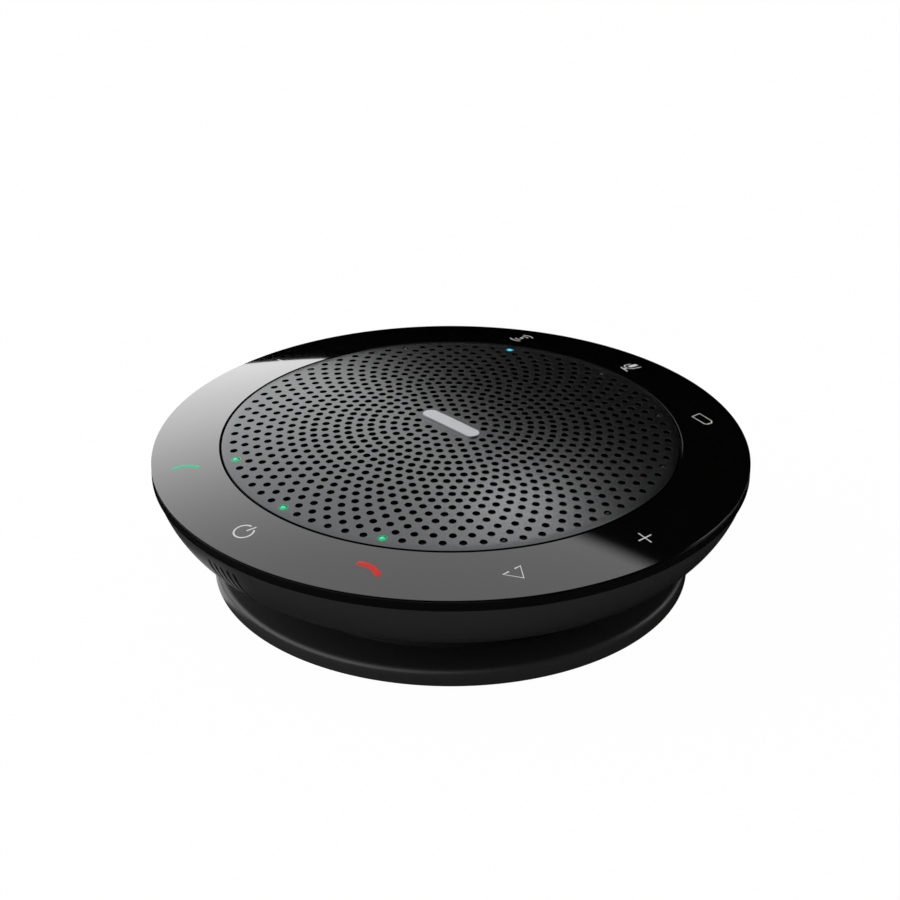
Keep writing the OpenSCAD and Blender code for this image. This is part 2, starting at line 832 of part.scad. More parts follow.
module battery_leads() {
    out_x = battery_l / 2 + wire_r + film_gap;
    from_z = battery_z + battery_t - 1;
    to_z = pcb_top + connector_h + wire_r + film_gap;
    up_x = core_flange_in - 2.5;
    color("#b02020") rotate([0, 0, battery_angle]) for (y = [-1.5, 1.5])
        wire([[out_x, y, from_z], [up_x, y, from_z], [up_x, y, to_z],
              [part_r - 2, y, to_z]], wire_r);
}

// ---- Microphone ----

module microphone() {
    color("#a5a7aa") translate([0, -mic_back_r, mic_z]) rotate([90, 0, 0]) cylinder(r = mic_r, h = mic_l);
}

// The rubber block that holds the capsule behind the slots
module mic_boot() {
    color("#111111") difference() {
        intersection() {
            turned() intersection() {
                bowl_section(wall + fit_gap);
                band_section(0, body_r, bowl_floor_z + film_gap, mic_z + boot_h / 2);
            }
            translate([-boot_w / 2, -body_r, 0]) cube([boot_w, body_r - mic_back_r + 1, overall_h]);
        }
        translate([0, -mic_back_r, mic_z]) rotate([90, 0, 0]) cylinder(r = mic_r + 0.03, h = mic_l + 0.03);
        translate([0, 0, mic_z]) rotate([90, 0, 0]) cylinder(r = 1.5, h = body_r);
    }
}

grille();
grille_cloth();
badge();
grille_frame();
light_pipes();
indicator_leds();
touch_ring();
touch_foil();
icon_leds();
led_board();
led_connector();
upper_housing();
lower_housing();
housing_screws();
winding_core();
cord_gland();
base_disc();
base_screws();
rubber_foot();
driver_basket();
driver_gasket();
driver_screws();
magnet();
top_plate();
yoke();
terminal_strip();
spider();
surround();
cone();
dust_cap();
voice_coil();
main_board();
board_screws();
board_chips();
shield_can();
chip_antenna();
capacitors();
board_connectors();
ribbon_cable();
speaker_leads();
battery_cell();
battery_pad();
battery_leads();
microphone();
mic_boot();
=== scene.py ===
from math import cos, hypot, radians, sin, sqrt, tau

import bmesh
import bpy
from mathutils import Matrix, Vector


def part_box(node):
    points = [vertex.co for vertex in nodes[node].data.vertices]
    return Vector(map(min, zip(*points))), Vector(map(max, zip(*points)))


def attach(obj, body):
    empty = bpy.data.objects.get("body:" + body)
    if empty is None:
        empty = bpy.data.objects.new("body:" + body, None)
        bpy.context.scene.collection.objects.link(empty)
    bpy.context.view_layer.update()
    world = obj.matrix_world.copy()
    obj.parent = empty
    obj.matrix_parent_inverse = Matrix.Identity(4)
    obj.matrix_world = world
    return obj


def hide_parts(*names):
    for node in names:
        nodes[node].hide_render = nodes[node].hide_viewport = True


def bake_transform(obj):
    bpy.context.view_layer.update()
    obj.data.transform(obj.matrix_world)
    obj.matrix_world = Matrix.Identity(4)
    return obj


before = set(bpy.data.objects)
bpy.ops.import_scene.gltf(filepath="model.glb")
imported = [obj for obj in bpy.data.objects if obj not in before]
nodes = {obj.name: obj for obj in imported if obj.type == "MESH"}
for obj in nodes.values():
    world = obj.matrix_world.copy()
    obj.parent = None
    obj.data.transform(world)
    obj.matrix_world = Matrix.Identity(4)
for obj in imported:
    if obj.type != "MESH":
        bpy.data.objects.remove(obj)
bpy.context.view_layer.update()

scene = bpy.context.scene


# ---- Camera ----
# A long lens at the front right, a little over 27 degrees above the table, so that
# the top is seen as a flat oval and the channel above the foot stays in view.
camera_place = (0.3236, -0.3021, 0.2532)
camera_drop = 27.15
camera_turn = 46.99
camera_axes = Matrix.Rotation(radians(camera_turn), 3, "Z")
bpy.ops.object.camera_add(
    location=camera_place,
    rotation=(radians(90 - camera_drop), 0, radians(camera_turn)),
)
scene.camera = bpy.context.object
scene.camera.data.sensor_width = 36
scene.camera.data.lens = 98.86
scene.view_settings.view_transform = "Standard"


# ---- Studio ----
# A white room with an even light for matt surfaces. Gloss sees the same room, brighter
# towards the horizon, and black flags that cover its low part and its right side.
def link(tree, source, target):
    """Joins two sockets of a node tree."""
    tree.links.new(source, target)


def feed(tree, node, values):
    """Gives inputs of a node, by name or number, what feeds them: a socket or a fixed value."""
    for label, value in values.items():
        if isinstance(value, bpy.types.NodeSocket):
            link(tree, value, node.inputs[label])
        else:
            node.inputs[label].default_value = value


def math_node(tree, operation, *values):
    """A Math node on sockets or plain numbers; gives its output socket."""
    node = tree.nodes.new("ShaderNodeMath")
    node.operation = operation
    feed(tree, node, dict(enumerate(values)))
    return node.outputs[0]


def vector_value(tree, operation, place, fixed):
    """A Vector Math node on a socket and a fixed vector; gives its value."""
    node = tree.nodes.new("ShaderNodeVectorMath")
    node.operation = operation
    feed(tree, node, {0: place, 1: fixed})
    return node.outputs["Value"]


def ramp(tree, value, start, end, low=0, high=1, kind="SMOOTHSTEP"):
    """Goes from low to high while the value goes from start to end."""
    node = tree.nodes.new("ShaderNodeMapRange")
    node.interpolation_type = kind
    ends = {"From Min": start, "From Max": end, "To Min": low, "To Max": high}
    feed(tree, node, {"Value": value, **ends})
    return node.outputs["Result"]


def mix_shaders(tree, share, first, second):
    """The surface goes from the first shader to the second by a share."""
    blend = tree.nodes.new("ShaderNodeMixShader")
    feed(tree, blend, {0: share, 1: first.outputs[0], 2: second.outputs[0]})
    link(tree, blend.outputs[0], tree.nodes["Material Output"].inputs["Surface"])


def object_place(tree):
    """The place on the piece, in metres, as every pattern reads it."""
    return tree.nodes.new("ShaderNodeTexCoord").outputs["Object"]


def object_axes(tree):
    """The X, Y and Z of that place."""
    split = tree.nodes.new("ShaderNodeSeparateXYZ")
    link(tree, object_place(tree), split.inputs[0])
    return split.outputs


def seen_directly(tree):
    """1 for the camera, for mirror reflections and through glass, else 0."""
    path = tree.nodes.new("ShaderNodeLightPath")
    rays = math_node(tree, "MAXIMUM", path.outputs["Is Camera Ray"], path.outputs["Is Glossy Ray"])
    return math_node(tree, "MAXIMUM", rays, path.outputs["Is Transmission Ray"])


def only_for_gloss(thing):
    """The thing shows in reflections and nowhere else."""
    thing.visible_camera = False
    thing.visible_diffuse = False
    thing.visible_transmission = False
    thing.visible_volume_scatter = False
    thing.visible_shadow = False


def glow_finish(name, strength):
    """A finish that gives an even light of that strength; 0 is black."""
    finish = bpy.data.materials.new(name)
    finish.use_nodes = True
    tree = finish.node_tree
    tree.nodes.clear()
    light = tree.nodes.new("ShaderNodeEmission")
    light.inputs["Strength"].default_value = strength
    output = tree.nodes.new("ShaderNodeOutputMaterial")
    link(tree, light.outputs[0], output.inputs["Surface"])
    finish.cycles.emission_sampling = "NONE"
    return finish


room_light = 0.62
backdrop_share = 0.985
world = bpy.data.worlds.new("white_room")
world.use_nodes = True
scene.world = world
tree = world.node_tree
seen = seen_directly(tree)
matt_part = math_node(tree, "MULTIPLY", math_node(tree, "SUBTRACT", 1, seen), room_light)
strength = math_node(tree, "ADD", seen, matt_part)
feed(tree, tree.nodes["Background"], {"Color": (1, 1, 1, 1), "Strength": strength})
world.cycles.sampling_method = "NONE"

floor_size = 6
bpy.ops.mesh.primitive_plane_add(size=floor_size, location=(0, 0, 0))
floor = bpy.context.object
floor.name = "floor"
floor_finish = bpy.data.materials.new("pale_floor")
floor_finish.use_nodes = True
tree = floor_finish.node_tree
matt = tree.nodes["Principled BSDF"]
feed(tree, matt, {"Base Color": (0.9, 0.9, 0.9, 1), "Roughness": 1, "Specular IOR Level": 0})
white_share = math_node(tree, "MULTIPLY", seen_directly(tree), backdrop_share)
mix_shaders(tree, white_share, matt, tree.nodes.new("ShaderNodeEmission"))
floor_finish.cycles.emission_sampling = "NONE"
floor.data.materials.append(floor_finish)


# Flags and panel are pieces of great balls. A side is the direction that a flag's edge
# faces, from the camera's own right, ahead and up; a flag covers what lies past its edges.
def ball_piece(name, radius, sides, finish):
    """The piece of a great ball that lies on the given side of each plane."""
    bpy.ops.mesh.primitive_uv_sphere_add(segments=128, ring_count=64, radius=radius)
    piece = bpy.context.object
    piece.name = name
    bpy.ops.object.mode_set(mode="EDIT")
    for side in sides:
        bpy.ops.mesh.select_all(action="SELECT")
        bpy.ops.mesh.bisect(plane_co=(0, 0, 0), plane_no=camera_side(side), clear_inner=True)
    bpy.ops.object.mode_set(mode="OBJECT")
    piece.data.materials.append(finish)
    only_for_gloss(piece)


def camera_side(side):
    """A direction given from the camera's right, ahead and up, in the frame's own axes."""
    return (camera_axes @ Vector(side)).normalized()


def soft_edge_finish(name, side, width):
    """Black, and clear at the edge that faces that side, over that width."""
    finish = glow_finish(name, 0)
    tree = finish.node_tree
    past = vector_value(tree, "DOT_PRODUCT", object_place(tree), camera_side(side))
    clear = tree.nodes.new("ShaderNodeBsdfTransparent")
    mix_shaders(tree, ramp(tree, past, 0, width), clear, tree.nodes["Emission"])
    return finish


flag_r, near_flag_r = 2.5, 2.49
soft_width = 0.1
low_edge = (0.405, 0.226, -0.885)
steep_edge = (0.925, 0.174, -0.339)
far_edge = (0.462, 0.576, -0.675)
near_edge = (0.85, -0.3, -0.42)
flag_black = glow_finish("flag_black", 0)
flag_soft = soft_edge_finish("flag_soft", far_edge, soft_width)
ball_piece("low_flag", flag_r, [low_edge], flag_black)
ball_piece("right_flag", flag_r, [steep_edge, far_edge], flag_soft)
ball_piece("near_right_flag", near_flag_r, [near_edge], flag_black)

# A small bright card ahead, a little to the right, puts a sheen on the grille's near side,
# and a strip far to the right puts one on the base's edge.
card_r = 2.4
card_strength, strip_strength = 4.6, 1.6
card_edges = [(1, -0.03, 0), (-1, 0.165, 0), (0, -0.74, 1), (0, 0.95, -1)]
ball_piece("sheen_card", card_r, card_edges, glow_finish("card_light", card_strength))
strip_edges = [(0.62, -0.78, 0), (-0.16, 0.98, 0), (-0.1, -0.06, 1), (0.7, 0.4, -1)]
ball_piece("edge_strip", card_r, strip_edges, glow_finish("strip_light", strip_strength))

# The panel is brightest at the horizon, and as bright as the room where it ends above.
panel_r = 2.7
panel_strength = 1.95
panel_low_z, panel_high_z = 0.3 * panel_r, 0.75 * panel_r
panel_side = (-1, 0.7, 0)
panel_light = glow_finish("panel_light", 1)
tree = panel_light.node_tree
strength = ramp(tree, object_axes(tree)[2], panel_low_z, panel_high_z, panel_strength, 1)
link(tree, strength, tree.nodes["Emission"].inputs["Strength"])
ball_piece("bright_panel", panel_r, [panel_side], panel_light)


# A black sheet on the floor keeps the bowl dark between its left and right ends. A narrow
# slit in it, under the left edge, leaves some white floor for the base's side to mirror.
def camera_corners(left, right, near, far):
    """The corners of a rectangle on the floor, given from the camera's right and ahead."""
    corners = ((left, near), (right, near), (right, far), (left, far))
    return [camera_axes @ Vector((x, y, 0)) for x, y in corners]


sheet_z = 0.0002
sheet_box = (-0.108, 0.14, -1.5, 1.5)
slit_box = (-0.061, -0.0462, -0.026, 0.06)
bpy.ops.mesh.primitive_circle_add(vertices=4)
sheet = bpy.context.object
sheet.name = "black_sheet"
bpy.ops.object.mode_set(mode="EDIT")
bpy.ops.mesh.primitive_circle_add(vertices=4)
mesh = bmesh.from_edit_mesh(sheet.data)
for vertex, corner in zip(mesh.verts, camera_corners(*sheet_box) + camera_corners(*slit_box)):
    vertex.co = corner
    vertex.co.z = sheet_z
bmesh.update_edit_mesh(sheet.data)
bpy.ops.mesh.select_all(action="SELECT")
bpy.ops.mesh.fill()
bpy.ops.object.mode_set(mode="OBJECT")
sheet.data.materials.append(glow_finish("sheet_black", 0))
only_for_gloss(sheet)


def soft_lamp(name, place, size, watts):
    """A square lamp at a place, turned to the object."""
    bpy.ops.object.light_add(type="AREA", location=place)
    lamp = bpy.context.object
    lamp.name = name
    lamp.data.size = size
    lamp.data.energy = watts
    lamp.rotation_euler = Vector(place).to_track_quat("Z", "Y").to_euler()
    lamp.visible_camera = False
    return lamp


side_lamp = soft_lamp("side_lamp", (-0.75, -0.55, 0.55), 0.5, 5)
side_lamp.visible_glossy = False


# ---- Grille ----
# A domed steel sheet, 0.6 mm thick, with rings of etched holes and a turned-down edge.
# It is sprayed a satin gunmetal and snaps over the black frame under its edge.
mm = 0.001
dome_r = 330 * mm
grille_low, grille_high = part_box("grille")
grille_r = grille_high.x
apex = grille_high.z
dome_z = apex - dome_r


def dome_height(r):
    """Height of the dome's outer face at a distance from the axis."""
    return dome_z + sqrt(dome_r ** 2 - r ** 2)


def deselect():
    """Nothing stays selected, so an operator acts on the new piece alone."""
    if bpy.context.object and bpy.context.object.mode != "OBJECT":
        bpy.ops.object.mode_set(mode="OBJECT")
    bpy.ops.object.select_all(action="DESELECT")


def add_object(name, data):
    """A new object in the scene."""
    made = bpy.data.objects.new(name, data)
    scene.collection.objects.link(made)
    return made


def activate(piece):
    """The piece alone is selected, and is the active object."""
    deselect()
    piece.select_set(True)
    bpy.context.view_layer.objects.active = piece


def edit():
    """Edit mode on the active piece, with everything selected."""
    bpy.ops.object.mode_set(mode="EDIT")
    bpy.ops.mesh.select_all(action="SELECT")


def mesh_unselected():
    """The mesh in edit mode, with nothing in it selected."""
    mesh = bmesh.from_edit_mesh(bpy.context.object.data)
    for part in (*mesh.verts, *mesh.edges, *mesh.faces):
        part.select = False
    return mesh


def select_where(test):
    """In edit mode, selects the vertices whose place passes a test, and what joins them."""
    mesh = mesh_unselected()
    for vertex in mesh.verts:
        vertex.select = test(vertex.co)
    mesh.select_flush(True)
    bmesh.update_edit_mesh(bpy.context.object.data)


def done(smooth_below=30):
    """Back to object mode, smooth where faces meet at less than that angle."""
    bpy.ops.object.mode_set(mode="OBJECT")
    bpy.ops.object.shade_smooth_by_angle(angle=radians(smooth_below))
    return bpy.context.object


def name_piece(name):
    """Names the active object and its mesh."""
    bpy.context.object.name = name
    bpy.context.object.data.name = name


def linear(level):
    """A screen level from 0 to 255 as linear light."""
    share = level / 255
    return share / 12.92 if share <= 0.04045 else ((share + 0.055) / 1.055) ** 2.4


def rgb(*levels):
    """A colour from one grey level or three screen levels."""
    red, green, blue = levels if len(levels) == 3 else levels * 3
    return (linear(red), linear(green), linear(blue), 1)


def shade(colour, share, added=0):
    """The colour times a share, with no part of it above 1."""
    return tuple(min(level * share + added, 1) for level in colour[:3]) + (1,)


def new_group(name, inputs, outputs):
    """A shader node group with its sockets, and its two end nodes."""
    group = bpy.data.node_groups.new(name, "ShaderNodeTree")
    kinds = {"value": "NodeSocketFloat", "colour": "NodeSocketColor", "place": "NodeSocketVector"}
    for label, kind in inputs.items():
        group.interface.new_socket(label, in_out="INPUT", socket_type=kinds[kind])
    for label, kind in outputs.items():
        group.interface.new_socket(label, in_out="OUTPUT", socket_type=kinds[kind])
    start = group.nodes.new("NodeGroupInput")
    end = group.nodes.new("NodeGroupOutput")
    return group, start.outputs, end.inputs


def noise(tree, place, scale, detail=2, rough=0.5):
    """A noise of that many waves to the metre, or of a socket's; gives its value."""
    node = tree.nodes.new("ShaderNodeTexNoise")
    feed(tree, node, {"Vector": place, "Scale": scale, "Detail": detail, "Roughness": rough})
    return node.outputs["Fac"]


def mix_colour(tree, share, first, second):
    """Two colours mixed by a share; each is a socket or a fixed colour."""
    node = tree.nodes.new("ShaderNodeMix")
    node.data_type = "RGBA"
    feed(tree, node, {0: share, 6: first, 7: second})
    return node.outputs[2]


# Sprayed or moulded surfaces share this group: fine pores, and a slow drift of tone and polish.
pores, given, gives = new_group(
    "pores",
    {"Place": "place", "Colour": "colour", "Roughness": "value", "Fineness": "value", "Drift": "value"},
    {"Colour": "colour", "Roughness": "value", "Height": "value"},
)
fine = noise(pores, given["Place"], given["Fineness"], 3, 0.6)
slow = noise(pores, given["Place"], 60, 3)
centred = math_node(pores, "SUBTRACT", math_node(pores, "ADD", fine, slow), 1)
swing = math_node(pores, "MULTIPLY", centred, given["Drift"])
lighter = math_node(pores, "ADD", swing, 1)
tone = pores.nodes.new("ShaderNodeVectorMath")
tone.operation = "SCALE"
feed(pores, tone, {0: given["Colour"], "Scale": lighter})
link(pores, tone.outputs[0], gives["Colour"])
duller = math_node(pores, "MULTIPLY_ADD", swing, -0.5, 1)
link(pores, math_node(pores, "MULTIPLY", given["Roughness"], duller), gives["Roughness"])
link(pores, fine, gives["Height"])


def new_finish(name):
    """An empty finish: the material, its node tree and its Principled shader."""
    finish = bpy.data.materials.new(name)
    finish.use_nodes = True
    return finish, finish.node_tree, finish.node_tree.nodes["Principled BSDF"]


def add_bump(tree, shader, height, depth):
    """A Bump node of that depth in metres in front of the shader's Normal."""
    bump = tree.nodes.new("ShaderNodeBump")
    feed(tree, bump, {"Height": height, "Distance": depth, "Strength": 1})
    link(tree, bump.outputs[0], shader.inputs["Normal"])


def porous_finish(name, colour, roughness, fineness, depth, drift=0.15, metallic=0.0):
    """A sprayed, cast or moulded finish on the pores group."""
    finish, tree, shader = new_finish(name)
    surface = tree.nodes.new("ShaderNodeGroup")
    surface.node_tree = pores
    feed(tree, surface, {"Place": object_place(tree), "Colour": colour, "Roughness": roughness})
    feed(tree, surface, {"Fineness": fineness, "Drift": drift})
    made = surface.outputs
    feed(tree, shader, {"Base Color": made["Colour"], "Roughness": made["Roughness"]})
    feed(tree, shader, {"Metallic": metallic})
    add_bump(tree, shader, made["Height"], depth)
    return finish


def set_finish(piece, finish):
    """The piece has that finish and no other."""
    piece.data.materials.clear()
    piece.data.materials.append(finish)


def paint_shade_below(finish, depth, black):
    """Only the dome's outer face keeps the finish; what lies deeper, the hole walls and the turned-down
    edge, is painted black as painted shade.
    """
    tree = finish.node_tree
    base_colour = tree.nodes["Principled BSDF"].inputs["Base Color"]
    reach = vector_value(tree, "DISTANCE", object_place(tree), (0, 0, dome_z))
    outer = math_node(tree, "GREATER_THAN", reach, dome_r - depth)
    link(tree, mix_colour(tree, outer, black, base_colour.links[0].from_socket), base_colour)


def spill_light(finish, tints):
    """A faint glow on the sheet round each lit hole, in the colour of its light."""
    tree = finish.node_tree
    shader = tree.nodes["Principled BSDF"]
    base_colour = shader.inputs["Base Color"]
    place = object_place(tree)
    glow = rgb(0)
    for number, tint in tints.items():
        middle = station_place(number, pipe_ring, dome_height(pipe_ring))
        reach = vector_value(tree, "DISTANCE", place, middle)
        near = ramp(tree, reach, spill_r, spill_full_r)
        glow = mix_colour(tree, near, glow, tint)
        sheet_colour = base_colour.links[0].from_socket
        link(tree, mix_colour(tree, near, sheet_colour, shade(tint, spill_tint)), base_colour)
    feed(tree, shader, {"Emission Color": glow, "Emission Strength": spill_strength})


hole_r = 0.77 * mm
hole_lip = 0.02 * mm
# Deeper than this under the grille's outer face, its colour is painted black as painted shade.
painted_shade_depth = 0.025 * mm
hole_land = 0.1 * mm
hole_pitch = 2.29 * mm
hole_sides = 16
first_ring, last_ring = 2, 19
sheet_t = 0.6 * mm
rim_round = 0.3 * mm
rim_steps = 4
round_steps = 288
pipe_ring = last_ring * hole_pitch
stations = 12
green_stations = (8, 9, 10)
cyan_stations = (4,)
cyan_light = rgb(44, 205, 238)
spill_r, spill_full_r = 1.15 * mm, 0.8 * hole_r
spill_strength, spill_tint = 0.1, 0.45


def around(r, angle, z=0):
    """The place at a distance from the axis, turned from +X by an angle in radians."""
    return Vector((r * cos(angle), r * sin(angle), z))


def station_place(number, r, z=0):
    """The place of a station, at a distance from the axis; station 0 is on +X."""
    return around(r, tau * number / stations, z)


def holes_in_ring(m):
    """The count grows outwards, so that the spacing stays even."""
    if m < 7:
        return 6 * m
    return 48 if m < 9 else 60 if m < 12 else 72


def ring_turn(m):
    """Some rings are turned by half a step, so that their holes lie between the next ones."""
    return 0.5 if m in (3, 5) or (m >= 10 and m % 2 == 0) else 0


def under_badge(x, y):
    """A hole is left out where the badge covers it or would nearly touch it."""
    return abs(x) < 8.475 * mm and abs(y) < 2.575 * mm


def deepen(factor, drop):
    """Extrudes the selected loops, scales them about their middle and lowers them."""
    bpy.ops.mesh.extrude_edges_move()
    bpy.ops.transform.resize(value=(factor, factor, 1))
    bpy.ops.transform.translate(value=(0, 0, -drop))


def fill_between_loops(height):
    """Fills the sheet between all the open loops that lie at one height."""
    mesh = mesh_unselected()
    for edge in mesh.edges:
        if len(edge.link_faces) < 2 and all(abs(v.co.z - height) < 1e-7 for v in edge.verts):
            edge.select = True
    mesh.select_flush(False)
    bmesh.update_edit_mesh(bpy.context.object.data)
    bpy.ops.mesh.fill(use_beauty=True)


def close_up():
    """Merges doubled points and turns every face outwards."""
    bpy.ops.mesh.select_all(action="SELECT")
    bpy.ops.mesh.remove_doubles(threshold=1e-7)
    bpy.ops.mesh.normals_make_consistent(inside=False)


def lay_on_dome(piece):
    """Lifts each point of a flat piece by the dome's height at that point."""
    for vertex in piece.data.vertices:
        vertex.co.z += dome_height(hypot(vertex.co.x, vertex.co.y))


def copies(pattern, places):
    """A copy of the pattern, with its own mesh, moved to each place; the pattern goes."""
    made = []
    for place in places:
        copy = add_object(pattern.name, pattern.data.copy())
        copy.data.transform(Matrix.Translation(place))
        made.append(copy)
    bpy.data.objects.remove(pattern)
    return made


def join(first, others):
    """Joins the others into the first object, which stays active."""
    activate(first)
    for piece in others:
        piece.select_set(True)
    bpy.ops.object.join()
    return first


deselect()
bpy.ops.mesh.primitive_circle_add(vertices=hole_sides, radius=hole_r + hole_lip + hole_land)
hole = bpy.context.object
edit()
deepen((hole_r + hole_lip) / (hole_r + hole_lip + hole_land), 0)
deepen(hole_r / (hole_r + hole_lip), hole_lip)
deepen(1, sheet_t - hole_lip)
bpy.ops.object.mode_set(mode="OBJECT")
hole_places = []
for m in range(first_ring, last_ring + 1):
    for i in range(holes_in_ring(m)):
        place = around(m * hole_pitch, tau * (i + ring_turn(m)) / holes_in_ring(m))
        if not under_badge(place.x, place.y):
            hole_places.append(place)
holes = copies(hole, hole_places)

deselect()
bpy.ops.mesh.primitive_circle_add(vertices=round_steps, radius=grille_r - rim_round)
name_piece("perforated_grille")
grille = join(bpy.context.object, holes)
edit()
fill_between_loops(0)
rim_drop = dome_height(grille_r) - grille_low.z
select_where(lambda p: hypot(p.x, p.y) > grille_r - rim_round - 1e-6)
r, z = grille_r - rim_round, 0
for i in range(1, rim_steps + 1):
    a = radians(90) * i / rim_steps
    next_r, next_z = grille_r - rim_round * (1 - sin(a)), -rim_round * (1 - cos(a))
    deepen(next_r / r, z - next_z)
    r, z = next_r, next_z
deepen(1, rim_drop - rim_round)
deepen((grille_r - sheet_t) / grille_r, 0)
deepen(1, sheet_t - rim_drop)
fill_between_loops(-sheet_t)
close_up()
done()
lay_on_dome(grille)
gunmetal = porous_finish(
    "satin_gunmetal", rgb(91, 92, 93), 0.235, 5200, 0.006 * mm, drift=0.12, metallic=1)
# Painted shade: the hole walls and the turned-down edge are painted black.
paint_shade_below(gunmetal, painted_shade_depth, rgb(1))
tints = {number: rgb(38, 222, 152) for number in green_stations}
tints.update({number: cyan_light for number in cyan_stations})
spill_light(gunmetal, tints)
set_finish(grille, gunmetal)
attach(grille, "unit")
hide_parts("grille")


# ---- Badge ----
# A blank plate of brushed stainless steel with round ends, stuck to the grille's middle.
badge_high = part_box("badge")[1]
badge_r = badge_high.y
badge_edge = 0.08 * mm


def brushed_finish(name, colour, roughness, depth, waves=(40, 3000, 3000)):
    """A bare metal finish with fine lines; waves to the metre are given for each axis."""
    finish, tree, shader = new_finish(name)
    stretch = tree.nodes.new("ShaderNodeMapping")
    feed(tree, stretch, {"Vector": object_place(tree), "Scale": waves})
    lines = noise(tree, stretch.outputs[0], 1, 3, 0.6)
    tone = mix_colour(tree, lines, shade(colour, 0.82), shade(colour, 1.12))
    duller = math_node(tree, "MULTIPLY_ADD", lines, 0.12, roughness)
    feed(tree, shader, {"Base Color": tone, "Roughness": duller, "Metallic": 1})
    add_bump(tree, shader, lines, depth)
    return finish


def bevel(width, segments=2):
    """Rounds the selected edges."""
    bpy.ops.mesh.bevel(offset=width, segments=segments, profile=0.5, clamp_overlap=True)


def select_edges(test):
    """In edit mode, selects the edges that pass a test."""
    mesh = mesh_unselected()
    for edge in mesh.edges:
        edge.select = test(edge)
    mesh.select_flush(True)
    bmesh.update_edit_mesh(bpy.context.object.data)


deselect()
bpy.ops.mesh.primitive_circle_add(vertices=48, radius=badge_r, fill_type="NGON")
name_piece("badge_plate")
badge = bpy.context.object
for vertex in badge.data.vertices:
    if abs(vertex.co.x) > 1e-7:
        vertex.co.x += (badge_high.x - badge_r) * (1 if vertex.co.x > 0 else -1)
edit()
plate_t = badge_high.z - apex
bpy.ops.mesh.extrude_region_move(TRANSFORM_OT_translate={"value": (0, 0, plate_t)})
select_edges(lambda edge: all(v.co.z > plate_t / 2 for v in edge.verts))
bevel(badge_edge)
bend_step = 1.5 * mm
for i in range(-4, 5):
    bpy.ops.mesh.select_all(action="SELECT")
    bpy.ops.mesh.bisect(plane_co=(i * bend_step, 0, 0), plane_no=(1, 0, 0))
close_up()
done()
lay_on_dome(badge)
set_finish(badge, brushed_finish("brushed_steel_badge", rgb(196, 197, 200), 0.28, 0.002 * mm))
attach(badge, "unit")
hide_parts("badge")


# ---- Dust cloth ----
# Black acoustic cloth glued under the grille, a plain weave of fine polyester threads.
def sine(tree, value, pace):
    """The sine of a value times a pace."""
    return math_node(tree, "SINE", math_node(tree, "MULTIPLY", value, pace))


def woven_finish(name, colour, thread, depth, roughness=0.9):
    """Threads over and under each other, along X and Y, one thread to that many metres; the dips where
    threads pass under are painted darker as painted shade.
    """
    finish, tree, shader = new_finish(name)
    axes = object_axes(tree)
    waves = [sine(tree, axes[i], tau / 2 / thread) for i in (0, 1)]
    height = math_node(tree, "MULTIPLY_ADD", math_node(tree, "MULTIPLY", *waves), 0.5, 0.5)
    # Painted shade: the colour darkens where the threads dip under.
    tone = mix_colour(tree, height, shade(colour, 0.4), colour)
    feed(tree, shader, {"Base Color": tone, "Roughness": roughness, "Specular IOR Level": 0.05})
    add_bump(tree, shader, height, depth)
    return finish


set_finish(nodes["grille_cloth"], woven_finish("black_acoustic_cloth", rgb(5), 0.22 * mm, 0.05 * mm))


# ---- Light pipes ----
# Twelve clear acrylic studs under the last ring of holes, each lit from below by its own
# light source. Three show green and one cyan; the rest are unlit and look like dark glass.
pipes_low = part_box("light_pipes")[0]
pipe_sides = 24


def turned(name, outline, steps=round_steps, smooth_below=30):
    """Spins a closed outline of (radius, height) points round the Z axis."""
    deselect()
    bpy.ops.mesh.primitive_circle_add(vertices=len(outline), radius=mm)
    name_piece(name)
    for vertex, (r, z) in zip(bpy.context.object.data.vertices, outline):
        vertex.co = (r, 0, z)
    edit()
    bpy.ops.mesh.spin(steps=steps, angle=tau, center=(0, 0, 0), axis=(0, 0, 1))
    close_up()
    return done(smooth_below)


def evenly(start, end, steps):
    """Numbers from start to end in equal steps."""
    return [start + (end - start) * i / steps for i in range(steps + 1)]


def arc(centre_r, centre_z, radius, start, end, steps):
    """Points of (radius, height) along an arc of a section, angles in degrees from +R."""
    turns = [radians(angle) for angle in evenly(start, end, steps)]
    return [(centre_r + radius * cos(a), centre_z + radius * sin(a)) for a in turns]


def light_studs(name, numbers, crown):
    """Studs at those stations; their end is turned to that outline, from the axis out."""
    stud = turned(name, [*crown, (crown[-1][0], pipes_low.z), (0, pipes_low.z)], pipe_sides)
    made = copies(stud, [station_place(number, pipe_ring) for number in numbers])
    joined = join(made[0], made[1:])
    name_piece(name)
    return joined


def domed(proud, ball_r, half):
    """The outline of an end that is part of a ball and stands proud of the sheet."""
    return arc(0, stud_top + proud - ball_r, ball_r, 90, 90 - half, 8)


def lit_finish(name, colour, strength, top, fade):
    """Clear plastic lit from behind: brightest at its tip, deeper in colour below it."""
    finish, tree, shader = new_finish(name)
    near_top = ramp(tree, object_axes(tree)[2], top - fade, top, kind="LINEAR")
    deep = shade(colour, 0.3)
    glow = mix_colour(tree, near_top, deep, shade(colour, 1.25, 0.03))
    feed(tree, shader, {"Emission Color": glow, "Emission Strength": strength})
    feed(tree, shader, {"Base Color": deep, "Roughness": 0.4})
    return finish


